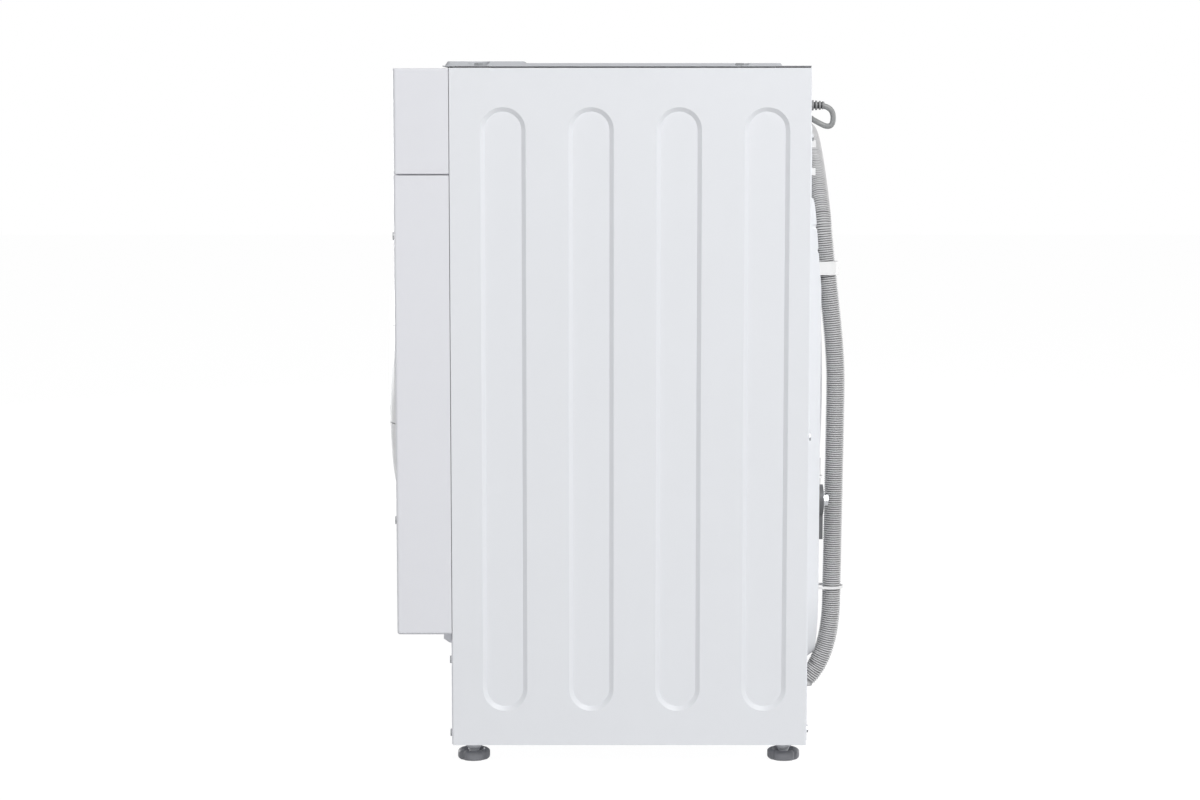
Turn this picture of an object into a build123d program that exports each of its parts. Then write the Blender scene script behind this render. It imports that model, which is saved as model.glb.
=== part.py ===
from build123d import *
import math
import os

# Built-in front-loading washing machine, shipped state, in millimetres.
# X runs to the machine's right as seen from the front, Y from the front to the back, Z up.
# The origin is on the floor, under the middle of the overall width and depth.

# Overall sizes
overall_height = 820.0
cabinet_width = 595.0
panel_depth = 414.0
front_depth = 64.0
door_bulge = 20.0
hose_reach = 54.0

# Height levels
foot_gap = 24.5
cover_rise = 6.0
cover_gap = 1.5
control_height = 120.5
front_bottom = 156.0
drum_height = 428.0
seam = 1.0

# Sheet and plastic walls
sheet = 1.0
plastic_wall = 2.5
side_fold = 24.0
top_fold = 20.0
bottom_fold = 14.0

# Clearances
running_gap = 0.05
loose_gap = 0.4
panel_gap = 0.5

# Beads of the side panels
bead_count = 4
bead_pitch = 100.7
bead_first = 61.6
bead_width = 52.0
bead_depth = 4.0
bead_slope = 5.0
bead_top_margin = 44.5
bead_bottom_margin = 41.0

# Drum and tub
drum_radius = 240.0
drum_length = 288.0
drum_sheet = 1.0
drum_mouth = 152.0
drum_to_tub = 24.0
tub_gap = 19.0
tub_wall = 3.0
tub_back = 172.0
tub_rear_half = 192.0
tub_flange = 10.0
tub_neck = 160.0
bellows_radius = 24.0
lifter_count = 3
lifter_height = 46.0
lifter_front_gap = 32.0
lifter_back_gap = 6.0

# Shaft line
shaft_radius = 15.0
shaft_nose_radius = 12.5
hub_radius = 44.0
bearing_front_radius = 31.0
bearing_rear_radius = 26.0
bearing_width = 15.0
seal_width = 8.0
drum_pulley_radius = 145.0
pulley_width = 16.0
motor_pulley_radius = 10.0
belt_width = 12.0
belt_thickness = 4.0

# Motor
motor_radius = 48.0
motor_length = 150.0
motor_x = -95.0
motor_z = 124.0

# Door
door_radius = 165.0
door_frame = 43.0
bowl_depth = 92.0
opening_inset = 17.0
recess_outset = 19.0
recess_depth = 12.0
hinge_outset = 7.0
hinge_reach = 1.5
hinge_pin_radius = 3.0
handle_inset = 25.0
grip_from_bottom = 123.0
grip_from_top = 89.0
hook_inset = 5.0
glass = 4.0

# Feet
foot_inset = 35.5
foot_front = 23.0
foot_back = 24.0
foot_radius = 19.0
foot_floor = 8.0
foot_rim = 15.5
foot_stem = 5.0
foot_cup_low = 12.5

# Rear panel
field_rise = 20.0
field_half_width = 215.0
field_low = 100.0
field_high = 655.0
field_slope = 12.0
field_corner_low = 95.0
field_corner_high = 26.0
shoulder_low = 555.0
shoulder_inset = 16.0
shoulder_side = 57.0
shoulder_slant = 31.0
shoulder_step = 15.0
shoulder_fall = 0.0856
groove_radius = 4.0
groove_depth = 1.2
dome_rise = 8.0
dome_outset = 40.0
dome_slope = 47.0
crossbar_drop = 71.0
crossbar_depth = 40.0
crossbar_height = 13.0

# Transport bolts
bolt_spread = 190.0
bolt_drop = 129.0
bolt_rise = 176.0
bolt_from_hose = 38.0

# Tub springs
spring_wire = 1.6
spring_eye = 3.2

# Drain hose
hose_radius = 11.5
hose_bore = 8.5
hose_root = 10.0
hose_side = 150.0
hose_floor = 43.0
hose_bend = 98.0
hose_arch_top = 738.0
hose_lean = 12.5
hose_rib_count = 40
hose_cuff = 50.0
hose_cuff_bore = 9.5

# Mains lead
cord_radius = 3.25
cord_side = 200.0
cord_exit_drop = 42.5
cord_exit_reach = 21.0
cord_run_drop = 53.0
coil_x = -225.0
coil_radius = 43.0
coil_pitch_in = 7.2
coil_pitch_out = 12.0
coil_lift = 7.3

# Control panel fittings
fittings_drop = 47.5
drawer_width = 142.0
drawer_height = 54.0
drawer_length = 232.0
knob_x = -62.0
knob_radius = 24.0
knob_reach = 12.0
button_radius = 9.0

# Levels and planes worked out from the sizes above
overall_depth = door_bulge + front_depth + panel_depth + hose_reach
half_width = cabinet_width / 2
front_face = door_bulge - overall_depth / 2
cabinet_front = front_face + front_depth
cabinet_back = cabinet_front + panel_depth
panel_bottom = foot_gap
panel_top = overall_height - cover_rise - cover_gap
control_top = panel_top - panel_gap
control_bottom = control_top - control_height
front_top = control_bottom - seam
inner_half = half_width - sheet
tub_radius = drum_radius + tub_gap
tub_outer = tub_radius + tub_wall
door_axis = Pos(0, 0, drum_height)
window_radius = door_radius - door_frame
opening_radius = door_radius - opening_inset
recess_radius = door_radius + recess_outset
hinge_offset = door_radius + hinge_outset
handle_pivot_x = door_radius - handle_inset
handle_low = grip_from_bottom - door_radius
handle_high = door_radius - grip_from_top
hook_x = door_radius - hook_inset
field_back = cabinet_back + field_rise
cover_underside = panel_top + cover_gap
tub_front_y = tub_back - drum_length - 44.0
tub_joint_y = tub_back - tub_rear_half
drum_back = tub_back - drum_to_tub
drum_front = drum_back - drum_length
spring_x = half_width - 25.5
spring_y = tub_back - 152.0
spring_hanger_z = panel_top - 37.0
spring_lug_z = drum_height + 140.0
weight_base_z = drum_height + tub_outer + 6.0
weight_bolt_radius = 216.0
heater_z = drum_height - drum_radius - 6.0
sump_x = 95.0
sump_y = tub_joint_y + 48.0
pulley_front = tub_back + 23.0
belt_front = pulley_front + (pulley_width - belt_width) / 2
motor_y0 = belt_front - 12.0 - motor_length
hub_bore = 20.0
hub_back = tub_back + 44.0
seal_front = tub_back - 3.0
bearing_front_y = seal_front + seal_width
bearing_rear_y = hub_back - bearing_width - 1.0
inlet_x = -110.0
inlet_z = panel_top - 27.5
inlet_radius = 13.2
drawer_centre_z = panel_top - fittings_drop
cord_exit_z = panel_top - cord_exit_drop
cord_run_z = panel_top - cord_run_drop
drawer_front_height = drawer_height + 12.0
drawer_wall = 1.8
drawer_x0 = -half_width + side_fold + 3.0
drawer_x1 = drawer_x0 + drawer_width
drawer_y0 = front_face + 6.0
drawer_y1 = drawer_y0 + drawer_length
drawer_z0 = drawer_centre_z - drawer_height / 2
drawer_z1 = drawer_centre_z + drawer_height / 2
dispenser_outlet_x = drawer_x1 - 52.0
dispenser_outlet_y = drawer_y1 - 44.0
outlet_over_tub = math.sqrt(tub_outer**2 - dispenser_outlet_x**2) + 26.0
fold_over_tub = math.sqrt(tub_outer**2 - (abs(dispenser_outlet_x) - bellows_radius) ** 2) + 4.0
bellows_low = drum_height + max(outlet_over_tub, fold_over_tub)
water_x = drawer_x1 - 40.0
hook_z = drum_height + 17.0
pump_x = 205.0
pump_z = 84.0
pump_front = cabinet_front + 12.0
flap_x0 = pump_x - 40.0
flap_x1 = pump_x + 40.0
flap_z0 = 48.0
flap_z1 = 128.0
flap_pivot_y = cabinet_front + 2.0
handle_pivot_y = front_face - 1.5
hinge_y = front_face - hinge_reach
shaft_end = hub_back + 20.0
shoulder_inner = hose_side - shoulder_inset
dome_base = hose_side + dome_outset
dome_top = dome_base - dome_slope


def block(x0, x1, y0, y1, z0, z1):
    """A box between two opposite corners."""
    centre = Pos((x0 + x1) / 2, (y0 + y1) / 2, (z0 + z1) / 2)
    return centre * Box(x1 - x0, y1 - y0, z1 - z0)


def bar_x(y, z, radius, x0, x1):
    """A round bar along X."""
    return Pos((x0 + x1) / 2, y, z) * Rot(0, 90, 0) * Cylinder(radius, x1 - x0)


def bar_y(x, z, radius, y0, y1):
    """A round bar along Y."""
    return Pos(x, (y0 + y1) / 2, z) * Rot(90, 0, 0) * Cylinder(radius, y1 - y0)


def bar_z(x, y, radius, z0, z1):
    """A round bar along Z."""
    return Pos(x, y, (z0 + z1) / 2) * Cylinder(radius, z1 - z0)


def hex_y(x, z, across, y0, y1):
    """A hexagonal bar along Y."""
    outline = Pos(x, z) * RegularPolygon(across / math.sqrt(3), 6)
    return slab(outline, y0, y1)


def slab(outline, y_front, y_back):
    """A drawing in X and Z, thickened from its front plane to its back plane."""
    plane = Plane((0, y_back, 0), x_dir=(1, 0, 0), z_dir=(0, -1, 0))
    return extrude(plane * outline, y_back - y_front)


def facing(outline, y):
    """A drawing in X and Z, laid on the plane at depth y."""
    return Plane((0, y, 0), x_dir=(1, 0, 0), z_dir=(0, -1, 0)) * outline


def sideways(outline, x):
    """A drawing in Y and Z, laid on the plane at width x."""
    return Plane((x, 0, 0), x_dir=(0, 1, 0), z_dir=(1, 0, 0)) * outline


def turned(*points):
    """A ring turned about the drum axis from an outline of radius and depth."""
    return door_axis * revolve(Polygon(*points, align=None), Axis.Y)


def rounded(x0, x1, z0, z1, radius):
    """A rectangle with four equal round corners."""
    return Pos((x0 + x1) / 2, (z0 + z1) / 2) * RectangleRounded(x1 - x0, z1 - z0, radius)


def mirrored_x(shape):
    """The same piece on the machine's other side."""
    return mirror(shape, Plane.YZ)


def bent_tube(points, radii, radius, bore=0.0):
    """A tube along straight runs joined by arcs."""
    path = FilletPolyline(*points, radius=radii)
    start = Plane(path @ 0, z_dir=path % 0)
    ring = start * Circle(radius)
    if bore:
        ring -= start * Circle(bore)
    return sweep(ring, path=path)


def save(name, *pieces):
    """Write one sub-part, made of one or more separate solids."""
    solids = [solid for piece in pieces for solid in piece.solids()]
    shape = solids[0] if len(solids) == 1 else Compound(children=solids)
    export_step(shape, f"parts/{name}.step")


# Cabinet


def side_panel():
    """Right side panel: folded sheet with a row of tall beads pressed inwards."""
    plate = block(inner_half, half_width, cabinet_front, cabinet_back, panel_bottom, panel_top)
    fold_in = half_width - side_fold
    front = block(fold_in, half_width, cabinet_front, cabinet_front + sheet, panel_bottom, panel_top)
    back = block(fold_in, half_width, cabinet_back - sheet, cabinet_back, panel_bottom, panel_top)
    top_in = half_width - top_fold
    top = block(top_in, half_width, cabinet_front, cabinet_back, panel_top - sheet, panel_top)
    bottom_in = half_width - bottom_fold
    bottom = block(bottom_in, half_width, cabinet_front, cabinet_back, panel_bottom, panel_bottom + sheet)
    panel = plate + front + back + top + bottom
    outer_edges = panel.edges().filter_by(Axis.Z).sort_by(Axis.X)[-2:]
    panel = fillet(outer_edges, sheet * 0.9)
    low = panel_bottom + bead_bottom_margin
    high = panel_top - bead_top_margin
    for index in range(bead_count):
        y = cabinet_front + bead_first + index * bead_pitch
        bead = pressed_bead(y, low, high)
        panel = panel + Pos(-sheet, 0, 0) * bead
        panel = panel - bead
    return panel + spring_hanger()


def pressed_bead(y, low, high):
    """The hollow of one bead: a stadium at the face, narrowing inwards."""
    length = high - low
    middle = (low + high) / 2
    mouth = sideways(Pos(y, middle) * SlotOverall(length, bead_width, rotation=90), half_width)
    inner = SlotOverall(length - 2 * bead_slope, bead_width - 2 * bead_slope, rotation=90)
    floor = sideways(Pos(y, middle) * inner, half_width - bead_depth)
    return loft([mouth, floor])


def spring_hanger():
    """Folded bracket under the top fold, which a tub spring hooks into."""
    z = spring_hanger_z
    plate = block(spring_x - 8, inner_half, spring_y - 1.5, spring_y + 1.5, z - 8, panel_top - sheet)
    return plate - bar_y(spring_x, z, spring_eye, spring_y - 5, spring_y + 5)


def base_pan():
    """Shallow steel tray with a pressed boss and a welded nut over each foot."""
    edge = inner_half - panel_gap
    y0 = cabinet_front + sheet + panel_gap
    y1 = cabinet_back - sheet - panel_gap
    z0 = panel_bottom + sheet
    rim = 16.0
    pan = block(-edge, edge, y0, y1, z0, z0 + rim)
    pan = fillet(pan.edges().filter_by(Axis.Z), 6)
    inside = block(-edge + sheet, edge - sheet, y0 + sheet, y1 - sheet, z0 + sheet, z0 + rim + 1)
    pan = pan - fillet(inside.edges().filter_by(Axis.Z), 5)
    for x, y in foot_places():
        cup = Pos(x, y, (foot_cup_low + z0) / 2) * Cone(7, 16, z0 - foot_cup_low)
        nut = bar_z(x, y, 9, z0 - 5, z0 + 12)
        pan = pan + cup + nut - bar_z(x, y, foot_stem + running_gap, foot_cup_low - 1, z0 + 13)
    for side in (-1, 1):
        pan = pan + damper_bracket(side)
    drain = block(-120, -20, -20, 90, z0 - 1, z0 + 2)
    return pan - fillet(drain.edges().filter_by(Axis.Z), 12)


def foot_places():
    """Centres of the four feet."""
    x = half_width - foot_inset
    front = cabinet_front + foot_front
    back = cabinet_back - foot_back
    return [(-x, front), (x, front), (-x, back), (x, back)]


def damper_bracket(side):
    """Upright pair of ears that a damper's lower eye sits between."""
    x, z = damper_low(side)
    ears = block(x - 12, x + 12, spring_y - 14, spring_y + 14, panel_bottom + 2 * sheet, z)
    ears = ears + bar_y(x, z, 12, spring_y - 14, spring_y + 14)
    gap = block(x - 20, x + 20, spring_y - 12, spring_y + 12, panel_bottom + 2 * sheet, z + 20)
    return ears - gap - bar_y(x, z, 4 + running_gap, spring_y - 20, spring_y + 20)


def foot(x, y):
    """Adjustable foot: lobed, dished plastic pad on a threaded stem."""
    pad = bar_z(x, y, foot_radius, 0, foot_rim)
    pad = chamfer(pad.edges().group_by(Axis.Z)[-1], 1.2)
    pad = chamfer(pad.edges().group_by(Axis.Z)[0], 1.5)
    pad = pad - Pos(x, y, (foot_floor + foot_rim) / 2 + 0.5) * Cone(9, 16.5, foot_rim - foot_floor + 1)
    for step in range(4):
        turn = math.radians(45 + 90 * step)
        notch_x = x + foot_radius * math.cos(turn)
        notch_y = y + foot_radius * math.sin(turn)
        pad = pad - bar_z(notch_x, notch_y, 3.2, 3.5, foot_rim + 1)
    stem = bar_z(x, y, foot_stem, foot_floor - 1, panel_bottom + 42)
    collar = Pos(x, y, foot_floor) * extrude(RegularPolygon(7.5, 6), 3)
    return pad + stem + collar


def top_cover():
    """Pressed cover: thin rim, low plateau, higher band along the front, screw seats at the sides."""
    edge = half_width - 2
    y0 = cabinet_front - 7
    rim_z = cover_underside
    rim = rounded_plate(-edge, edge, y0, cabinet_back, rim_z, rim_z + sheet, 3)
    low_rise = cover_rise - 2 - sheet
    field = cover_field(y0 + 2, cabinet_back - 33)
    band = cover_field(y0 + 2, y0 + 96)
    cover = rim + raised(field, rim_z + sheet, low_rise) + raised(band, rim_z + sheet, cover_rise - sheet)
    cover = cover - raised(field, rim_z - 0.01, low_rise) - raised(band, rim_z - 0.01, cover_rise - sheet)
    for x, y in cover_screw_places():
        cover = cover - bar_z(x, y, 2.2, rim_z - 1, rim_z + 3)
    return cover


def cover_field(y0, y1):
    """Outline of a raised part of the cover, notched round each screw that lies beside it."""
    edge = half_width - 8
    outline = rounded(-edge, edge, y0, y1, 8)
    for x, y in cover_screw_places():
        if y0 < y < y1:
            outline = outline - Pos(x, y) * Circle(10)
    return outline


def raised(outline, z, rise):
    """A raised field with sloping sides."""
    return Pos(0, 0, z) * extrude(outline, rise, taper=35)


def rounded_plate(x0, x1, y0, y1, z0, z1, radius):
    """A flat plate with round corners."""
    return Pos(0, 0, z0) * extrude(rounded(x0, x1, y0, y1, radius), z1 - z0)


def cover_screw_places():
    """Centres of the four screws that hold the top cover."""
    x = half_width - 12
    return [(side * x, y) for side in (-1, 1) for y in (cabinet_front + 34, cabinet_back - 82)]


def crossbars():
    """Front and rear steel channels that tie the side panels together under the cover."""
    top = cover_underside
    reach = half_width - top_fold - panel_gap
    pieces = []
    for y0 in (cabinet_front + 7, cabinet_back - sheet - crossbar_depth):
        bar = block(-reach, reach, y0, y0 + crossbar_depth, top - crossbar_height, top)
        hollow = block(-reach - 1, reach + 1, y0 + sheet, y0 + crossbar_depth - sheet, 0, top - sheet)
        bar = bar - hollow
        for x, y in cover_screw_places():
            bar = bar - bar_z(x, y, 2, top - 5, top + 1)
        pieces.append(bar)
    pieces[1] = pieces[1] + rear_web() - rear_web_holes()
    ears = block(-inner_half + 0.1, inner_half - 0.1, cabinet_front + 7, cabinet_front + 47, panel_top, top)
    rear_ears = Pos(0, cabinet_back - sheet - crossbar_depth - cabinet_front - 7, 0) * ears
    cut = screw_holes(2)
    return [pieces[0] + ears - cut, pieces[1] + rear_ears - cut]


def screw_holes(radius):
    """Holes for the top cover's screws."""
    z = panel_top
    return [bar_z(x, y, radius, z - 3, z + 3) for x, y in cover_screw_places()]


def rear_web():
    """Upright face of the rear channel, above the rear panel."""
    reach = half_width - side_fold - panel_gap
    top = panel_top - panel_gap
    return block(-reach, reach, cabinet_back - sheet, cabinet_back, panel_top - crossbar_drop, top)


def rear_web_holes():
    """Holes in the rear web for the water inlet and the mains lead's gland."""
    y0 = cabinet_back - 3
    y1 = cabinet_back + 3
    inlet = bar_y(inlet_x, inlet_z, inlet_radius + 1, y0, y1)
    gland = block(cord_side - 6, cord_side + 6, y0, y1, cord_exit_z - 5, cord_exit_z + 5)
    return inlet + gland


def rear_panel():
    """Pressed rear panel: raised field with round corners, a round dome and short grooves."""
    back = cabinet_back + sheet
    edge = half_width - 4
    top = panel_top - crossbar_drop + 6
    plate = slab(rounded(-edge, edge, panel_bottom + 4, top, 4), cabinet_back, back)
    field = raised_field()
    dome = loft([dome_circle(dome_base, field_back), dome_circle(dome_top, field_back + dome_rise)])
    inward = Pos(0, -sheet, 0)
    panel = plate + field + dome - inward * field - inward * dome
    for side in (-1, 1):
        for drop in (27.0, 55.0):
            skin = groove(side, field_high - drop, groove_radius + sheet) & field
            panel = panel + skin - groove(side, field_high - drop, groove_radius)
    for x, z in transport_places():
        panel = panel - bar_y(x, z, 6, field_back - 5, field_back + dome_rise + 5)
    slot_z = 64.0
    outlet = slab(Pos(hose_side, slot_z) * SlotOverall(44, 30, rotation=90), cabinet_back - 2, back + 2)
    panel = panel - outlet
    for x, z in rear_screw_places():
        panel = panel - bar_y(x, z, 2.2, cabinet_back - 2, back + 2)
    return panel


def raised_field():
    """Raised field, its upper corners pressed in at a slant for the drain hose."""
    field = loft([facing(field_outline(field_slope), cabinet_back), facing(field_outline(0), field_back)])
    slant = Plane((0, field_back, shoulder_low), x_dir=(1, 0, 0), z_dir=(0, 1, shoulder_fall))
    wide = shoulder_inner - shoulder_step
    wide_from = -shoulder_side - shoulder_slant
    past_top = -150.0
    corner = Polygon((shoulder_inner, 0), (shoulder_inner, -shoulder_side), (wide, wide_from),
                     (wide, past_top), (half_width, past_top), (half_width, 0), align=None)
    right = extrude(slant * corner, field_rise, dir=(0, 1, shoulder_fall), taper=-30)
    return field - right - mirrored_x(right)


def field_outline(spread):
    """Outline of the raised field, round at the corners and wider at its foot."""
    half = field_half_width + spread
    low = field_low - spread
    high = field_high + spread
    frame = Pos(0, (low + high) / 2) * Rectangle(2 * half, high - low)
    corners = frame.vertices().sort_by(Axis.Y)
    frame = fillet(corners[:2], field_corner_low)
    corners = frame.vertices().sort_by(Axis.Y)
    return fillet(corners[-2:], field_corner_high)


def dome_circle(radius, y):
    """One circle of the dome round the drum pulley."""
    return facing(Pos(0, drum_height) * Circle(radius), y)


def groove(side, z, radius):
    """A bar for one short level groove, along the field's slanted corner and down its side."""
    surface = field_back - (z - shoulder_low) * shoulder_fall
    above = groove_radius - groove_depth
    start = (side * (field_half_width - 60), surface + above, z)
    corner = (side * (field_half_width + 4), surface + above, z)
    end = (side * (field_half_width + 17), cabinet_back + above, z)
    return bent_tube([start, corner, end], [radius + 2], radius)


def rear_screw_places():
    """Centres of the rear panel's screws."""
    x = half_width - 16
    top = panel_top - crossbar_drop - 8
    low = panel_bottom + 16
    middle = (top + low) / 2
    upright = [(side * x, z) for side in (-1, 1) for z in (low, middle, top)]
    return upright + [(-60.0, top + 8), (60.0, top + 8)]


def transport_places():
    """Centres of the three transport bolts."""
    low = drum_height - bolt_drop
    upper_x = bolt_from_hose - hose_side
    return [(-bolt_spread, low), (bolt_spread, low), (upper_x, drum_height + bolt_rise)]


def damper_low(side):
    """Centre of a damper's lower eye."""
    return side * (half_width - 72), panel_bottom + 26


def damper_high(side):
    """Centre of a damper's upper eye."""
    return side * 186.0, drum_height - 208


# Front


def front_panel():
    """Deep pan round the door: face, folded sides, round recess and round opening."""
    rear = cabinet_front - panel_gap
    outer = block(-half_width, half_width, front_face, rear, front_bottom, front_top)
    outer = fillet(outer.edges().filter_by(Axis.Y).sort_by(Axis.Z)[:2], 4)
    outer = fillet(outer.edges().filter_by(Axis.Z).sort_by(Axis.Y)[:2], 3)
    inner = block(-inner_half, inner_half, front_face + sheet, rear + 1,
                  front_bottom + sheet, front_top - sheet)
    inner = fillet(inner.edges().filter_by(Axis.Z).sort_by(Axis.Y)[:2], 2)
    pan = outer - inner
    floor = front_face + recess_depth
    dish = turned(
        (0, front_face),
        (recess_radius, front_face),
        (recess_radius - 8, floor),
        (0, floor),
    )
    pan = pan + Pos(0, sheet, 0) * dish - dish
    pan = pan - bar_y(0, drum_height, opening_radius, front_face - 1, floor + 5)
    lip = turned(
        (opening_radius, floor),
        (opening_radius + sheet, floor),
        (opening_radius + sheet, floor + 7),
        (opening_radius, floor + 7),
    )
    pan = pan + lip - lock_slot()
    for x, z in furniture_holes():
        pan = pan - bar_y(x, z, 2.1, front_face - 1, front_face + 3)
    for side in (-1, 1):
        pan = pan + front_tab(side)
    return pan


def front_tab(side):
    """Small slanting tab under the rear corner of the front panel."""
    y1 = cabinet_front - 1.2
    root = front_bottom + sheet / 2
    outline = Polygon((y1 - 9.5, root), (y1, root), (y1, front_bottom - 12.5),
                      (y1 - 3, front_bottom - 12), (y1 - 9.5, front_bottom - 7.5), align=None)
    x = side * (inner_half - 8) - 6
    return extrude(sideways(outline, x), 12)


def furniture_holes():
    """Holes for the hinges of the furniture door, the same on both sides."""
    x = half_width - 20
    return [(side * x, z) for side in (-1, 1) for z in (front_bottom + 132.5, front_bottom + 464.2)]


def lock_slot():
    """Slot that the latch hook goes in through."""
    y0 = front_face + recess_depth - 1
    return block(hook_x - 5.5, hook_x + 9, y0, y0 + 3, hook_z - 9, hook_z + 9)


def plinth_panel():
    """Recessed panel under the door panel, with the filter opening and the flap's bearings."""
    edge = half_width - 1.5
    plate = block(-edge, edge, cabinet_front - sheet, cabinet_front, panel_bottom + 1, front_bottom - 8)
    opening = block(flap_x0 - loose_gap, flap_x1 + loose_gap, cabinet_front - 2, cabinet_front + 1,
                    flap_z0 - 4, flap_z1 + loose_gap)
    plate = plate - opening
    for x in (flap_x0 - 4.4, flap_x1 + 1.4):
        ear = block(x, x + 3, cabinet_front, cabinet_front + 5.5, flap_z0 - 5, flap_z0 + 3)
        plate = plate + ear
    plate = plate - bar_x(flap_pivot_y, flap_z0, 1.2 + running_gap, flap_x0 - 10, flap_x1 + 10)
    for x, z in plinth_screws():
        plate = plate - bar_y(x, z, 2.2, cabinet_front - 2, cabinet_front + 2)
    return plate


def plinth_screws():
    """Centres of the plinth panel's screws."""
    x = half_width - 14
    return [(side * x, z) for side in (-1, 1) for z in (panel_bottom + 12, front_bottom - 32)]


def filter_flap():
    """Flap over the filter, on two pins at its lower edge."""
    plate = block(flap_x0, flap_x1, cabinet_front - sheet, flap_pivot_y, flap_z0 - 2.5, flap_z1)
    grip = bar_x(cabinet_front - sheet - 3, flap_z1 - 2, 5, flap_x0 + 30, flap_x1 - 30)
    hinge = bar_x(flap_pivot_y, flap_z0, 2.2, flap_x0, flap_x1)
    pins = bar_x(flap_pivot_y, flap_z0, 1.2, flap_x0 - 4, flap_x1 + 4)
    return plate - grip + hinge + pins


def control_panel():
    """Moulded fascia shell with openings for the drawer, display, knob and buttons."""
    rear = cabinet_front - panel_gap
    outer = block(-half_width, half_width, front_face, rear, control_bottom, control_top)
    outer = fillet(outer.edges().filter_by(Axis.Z).sort_by(Axis.Y)[:2], 4)
    outer = fillet(outer.edges().filter_by(Axis.X).sort_by(Axis.Y)[:2], 2)
    wall = plastic_wall
    inner = block(-half_width + wall, half_width - wall, front_face + wall, rear + 1,
                  control_bottom + wall, control_top - wall)
    shell = outer - fillet(inner.edges().filter_by(Axis.Z).sort_by(Axis.Y)[:2], 2)
    gap = 1.0
    z0 = drawer_centre_z - drawer_front_height / 2 - gap
    z1 = drawer_centre_z + drawer_front_height / 2 + gap
    drawer = rounded(drawer_x0 - 4 - gap, drawer_x1 + 4 + gap, z0, z1, 3)
    shell = shell - slab(drawer, front_face - 1, front_face + 5)
    window = rounded(*display_box(), 3)
    shell = shell - slab(window, front_face - 1, front_face + 5)
    shell = shell - bar_y(knob_x, drawer_centre_z, 7, front_face - 1, front_face + 5)
    shell = shell - knob_dish(knob_radius + 2.5, 1.5)
    for x in button_places():
        shell = shell - bar_y(x, drawer_centre_z, button_radius + 0.3, front_face - 1, front_face + 5)
    return shell


def knob_dish(radius, depth):
    """Shallow dish in the fascia round the knob."""
    centre = Pos(knob_x, front_face + depth / 2, drawer_centre_z)
    return centre * Rot(90, 0, 0) * Cone(radius - depth, radius, depth)


def display_box():
    """Left, right, lower and upper edge of the display window."""
    return 46.0, 150.0, drawer_centre_z - 20, drawer_centre_z + 20


def button_places():
    """Centres along X of the two push-buttons."""
    return [186.0, 236.0]


def display_module():
    """Electronics housing behind the fascia, with its window flush in the opening."""
    x0, x1, z0, z1 = display_box()
    gap = 0.3
    window = slab(rounded(x0 + gap, x1 - gap, z0 + gap, z1 - gap, 2.7), front_face + 0.5, front_face + 9)
    flange = block(x0 - 6, x1 + 6, front_face + plastic_wall, front_face + 9, z0 - 6, z1 + 6)
    case = block(knob_x - 28, x1 + 110, front_face + 9, front_face + 40, z0 - 12, z1 + 12)
    knob_bearing = bar_y(knob_x, drawer_centre_z, 5 + running_gap, front_face + 8, front_face + 41)
    return window + flange + case - knob_bearing


def programme_knob():
    """Programme selector with a raised grip and its shaft."""
    tip = front_face - knob_reach
    skirt = bar_y(knob_x, drawer_centre_z, knob_radius, front_face - 2, front_face + 0.8)
    body = Pos(knob_x, (tip + front_face) / 2, drawer_centre_z)
    body = body * Rot(90, 0, 0) * Cone(knob_radius - 2, knob_radius - 4, knob_reach)
    shaft = bar_y(knob_x, drawer_centre_z, 5, front_face - 1, front_face + 24)
    flute = bar_y(knob_x, drawer_centre_z, 4, tip - 1, tip + knob_reach - 2)
    knob = skirt + body + shaft
    for step in range(12):
        turn = math.radians(30 * step)
        dx = (knob_radius - 0.5) * math.cos(turn)
        dz = (knob_radius - 0.5) * math.sin(turn)
        knob = knob - Pos(dx, 0, dz) * flute
    mark = block(knob_x - 1, knob_x + 1, tip - 1, tip + 0.6, drawer_centre_z + 8, drawer_centre_z + 19)
    return knob - mark


def push_button(x):
    """Round push-button with a stepped skirt behind the fascia."""
    cap = bar_y(x, drawer_centre_z, button_radius, front_face - 1.5, front_face + 6.5)
    cap = chamfer(cap.edges().sort_by(Axis.Y)[0], 0.8)
    skirt = bar_y(x, drawer_centre_z, button_radius + 2, front_face + plastic_wall + 0.3, front_face + 6.5)
    return cap + skirt


# Detergent drawer


def drawer_tray():
    """Tray with three compartments, the softener's with a siphon post, and a sloping rear outlet."""
    tray = block(drawer_x0, drawer_x1, drawer_y0, drawer_y1, drawer_z0, drawer_z1)
    wall = drawer_wall
    for x0, x1 in compartment_spans():
        hollow = block(x0, x1, drawer_y0 + wall, drawer_y1 - wall, drawer_z0 + wall, drawer_z1 + 1)
        tray = tray - fillet(hollow.edges().filter_by(Axis.Z), 4)
    outlet_low = drawer_z0 + 16
    outlet_high = drawer_z1 - 10
    rear = drawer_y1 - wall - 1
    tray = tray - block(drawer_x0 + 8, drawer_x1 - 60, rear, drawer_y1 + 1, outlet_low, outlet_high)
    x0, x1 = compartment_spans()[2]
    post = bar_z((x0 + x1) / 2, drawer_y1 - 30, 6, drawer_z0, drawer_z1 - 14)
    return tray + post - bar_z((x0 + x1) / 2, drawer_y1 - 30, 3.5, drawer_z0 - 1, drawer_z1 - 12)


def compartment_spans():
    """Left and right wall of each compartment."""
    wall = drawer_wall
    first = drawer_x0 + wall
    second = first + 30.0
    third = second + wall + 60.0
    return [(first, second), (second + wall, third), (third + wall, drawer_x1 - wall)]


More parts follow.
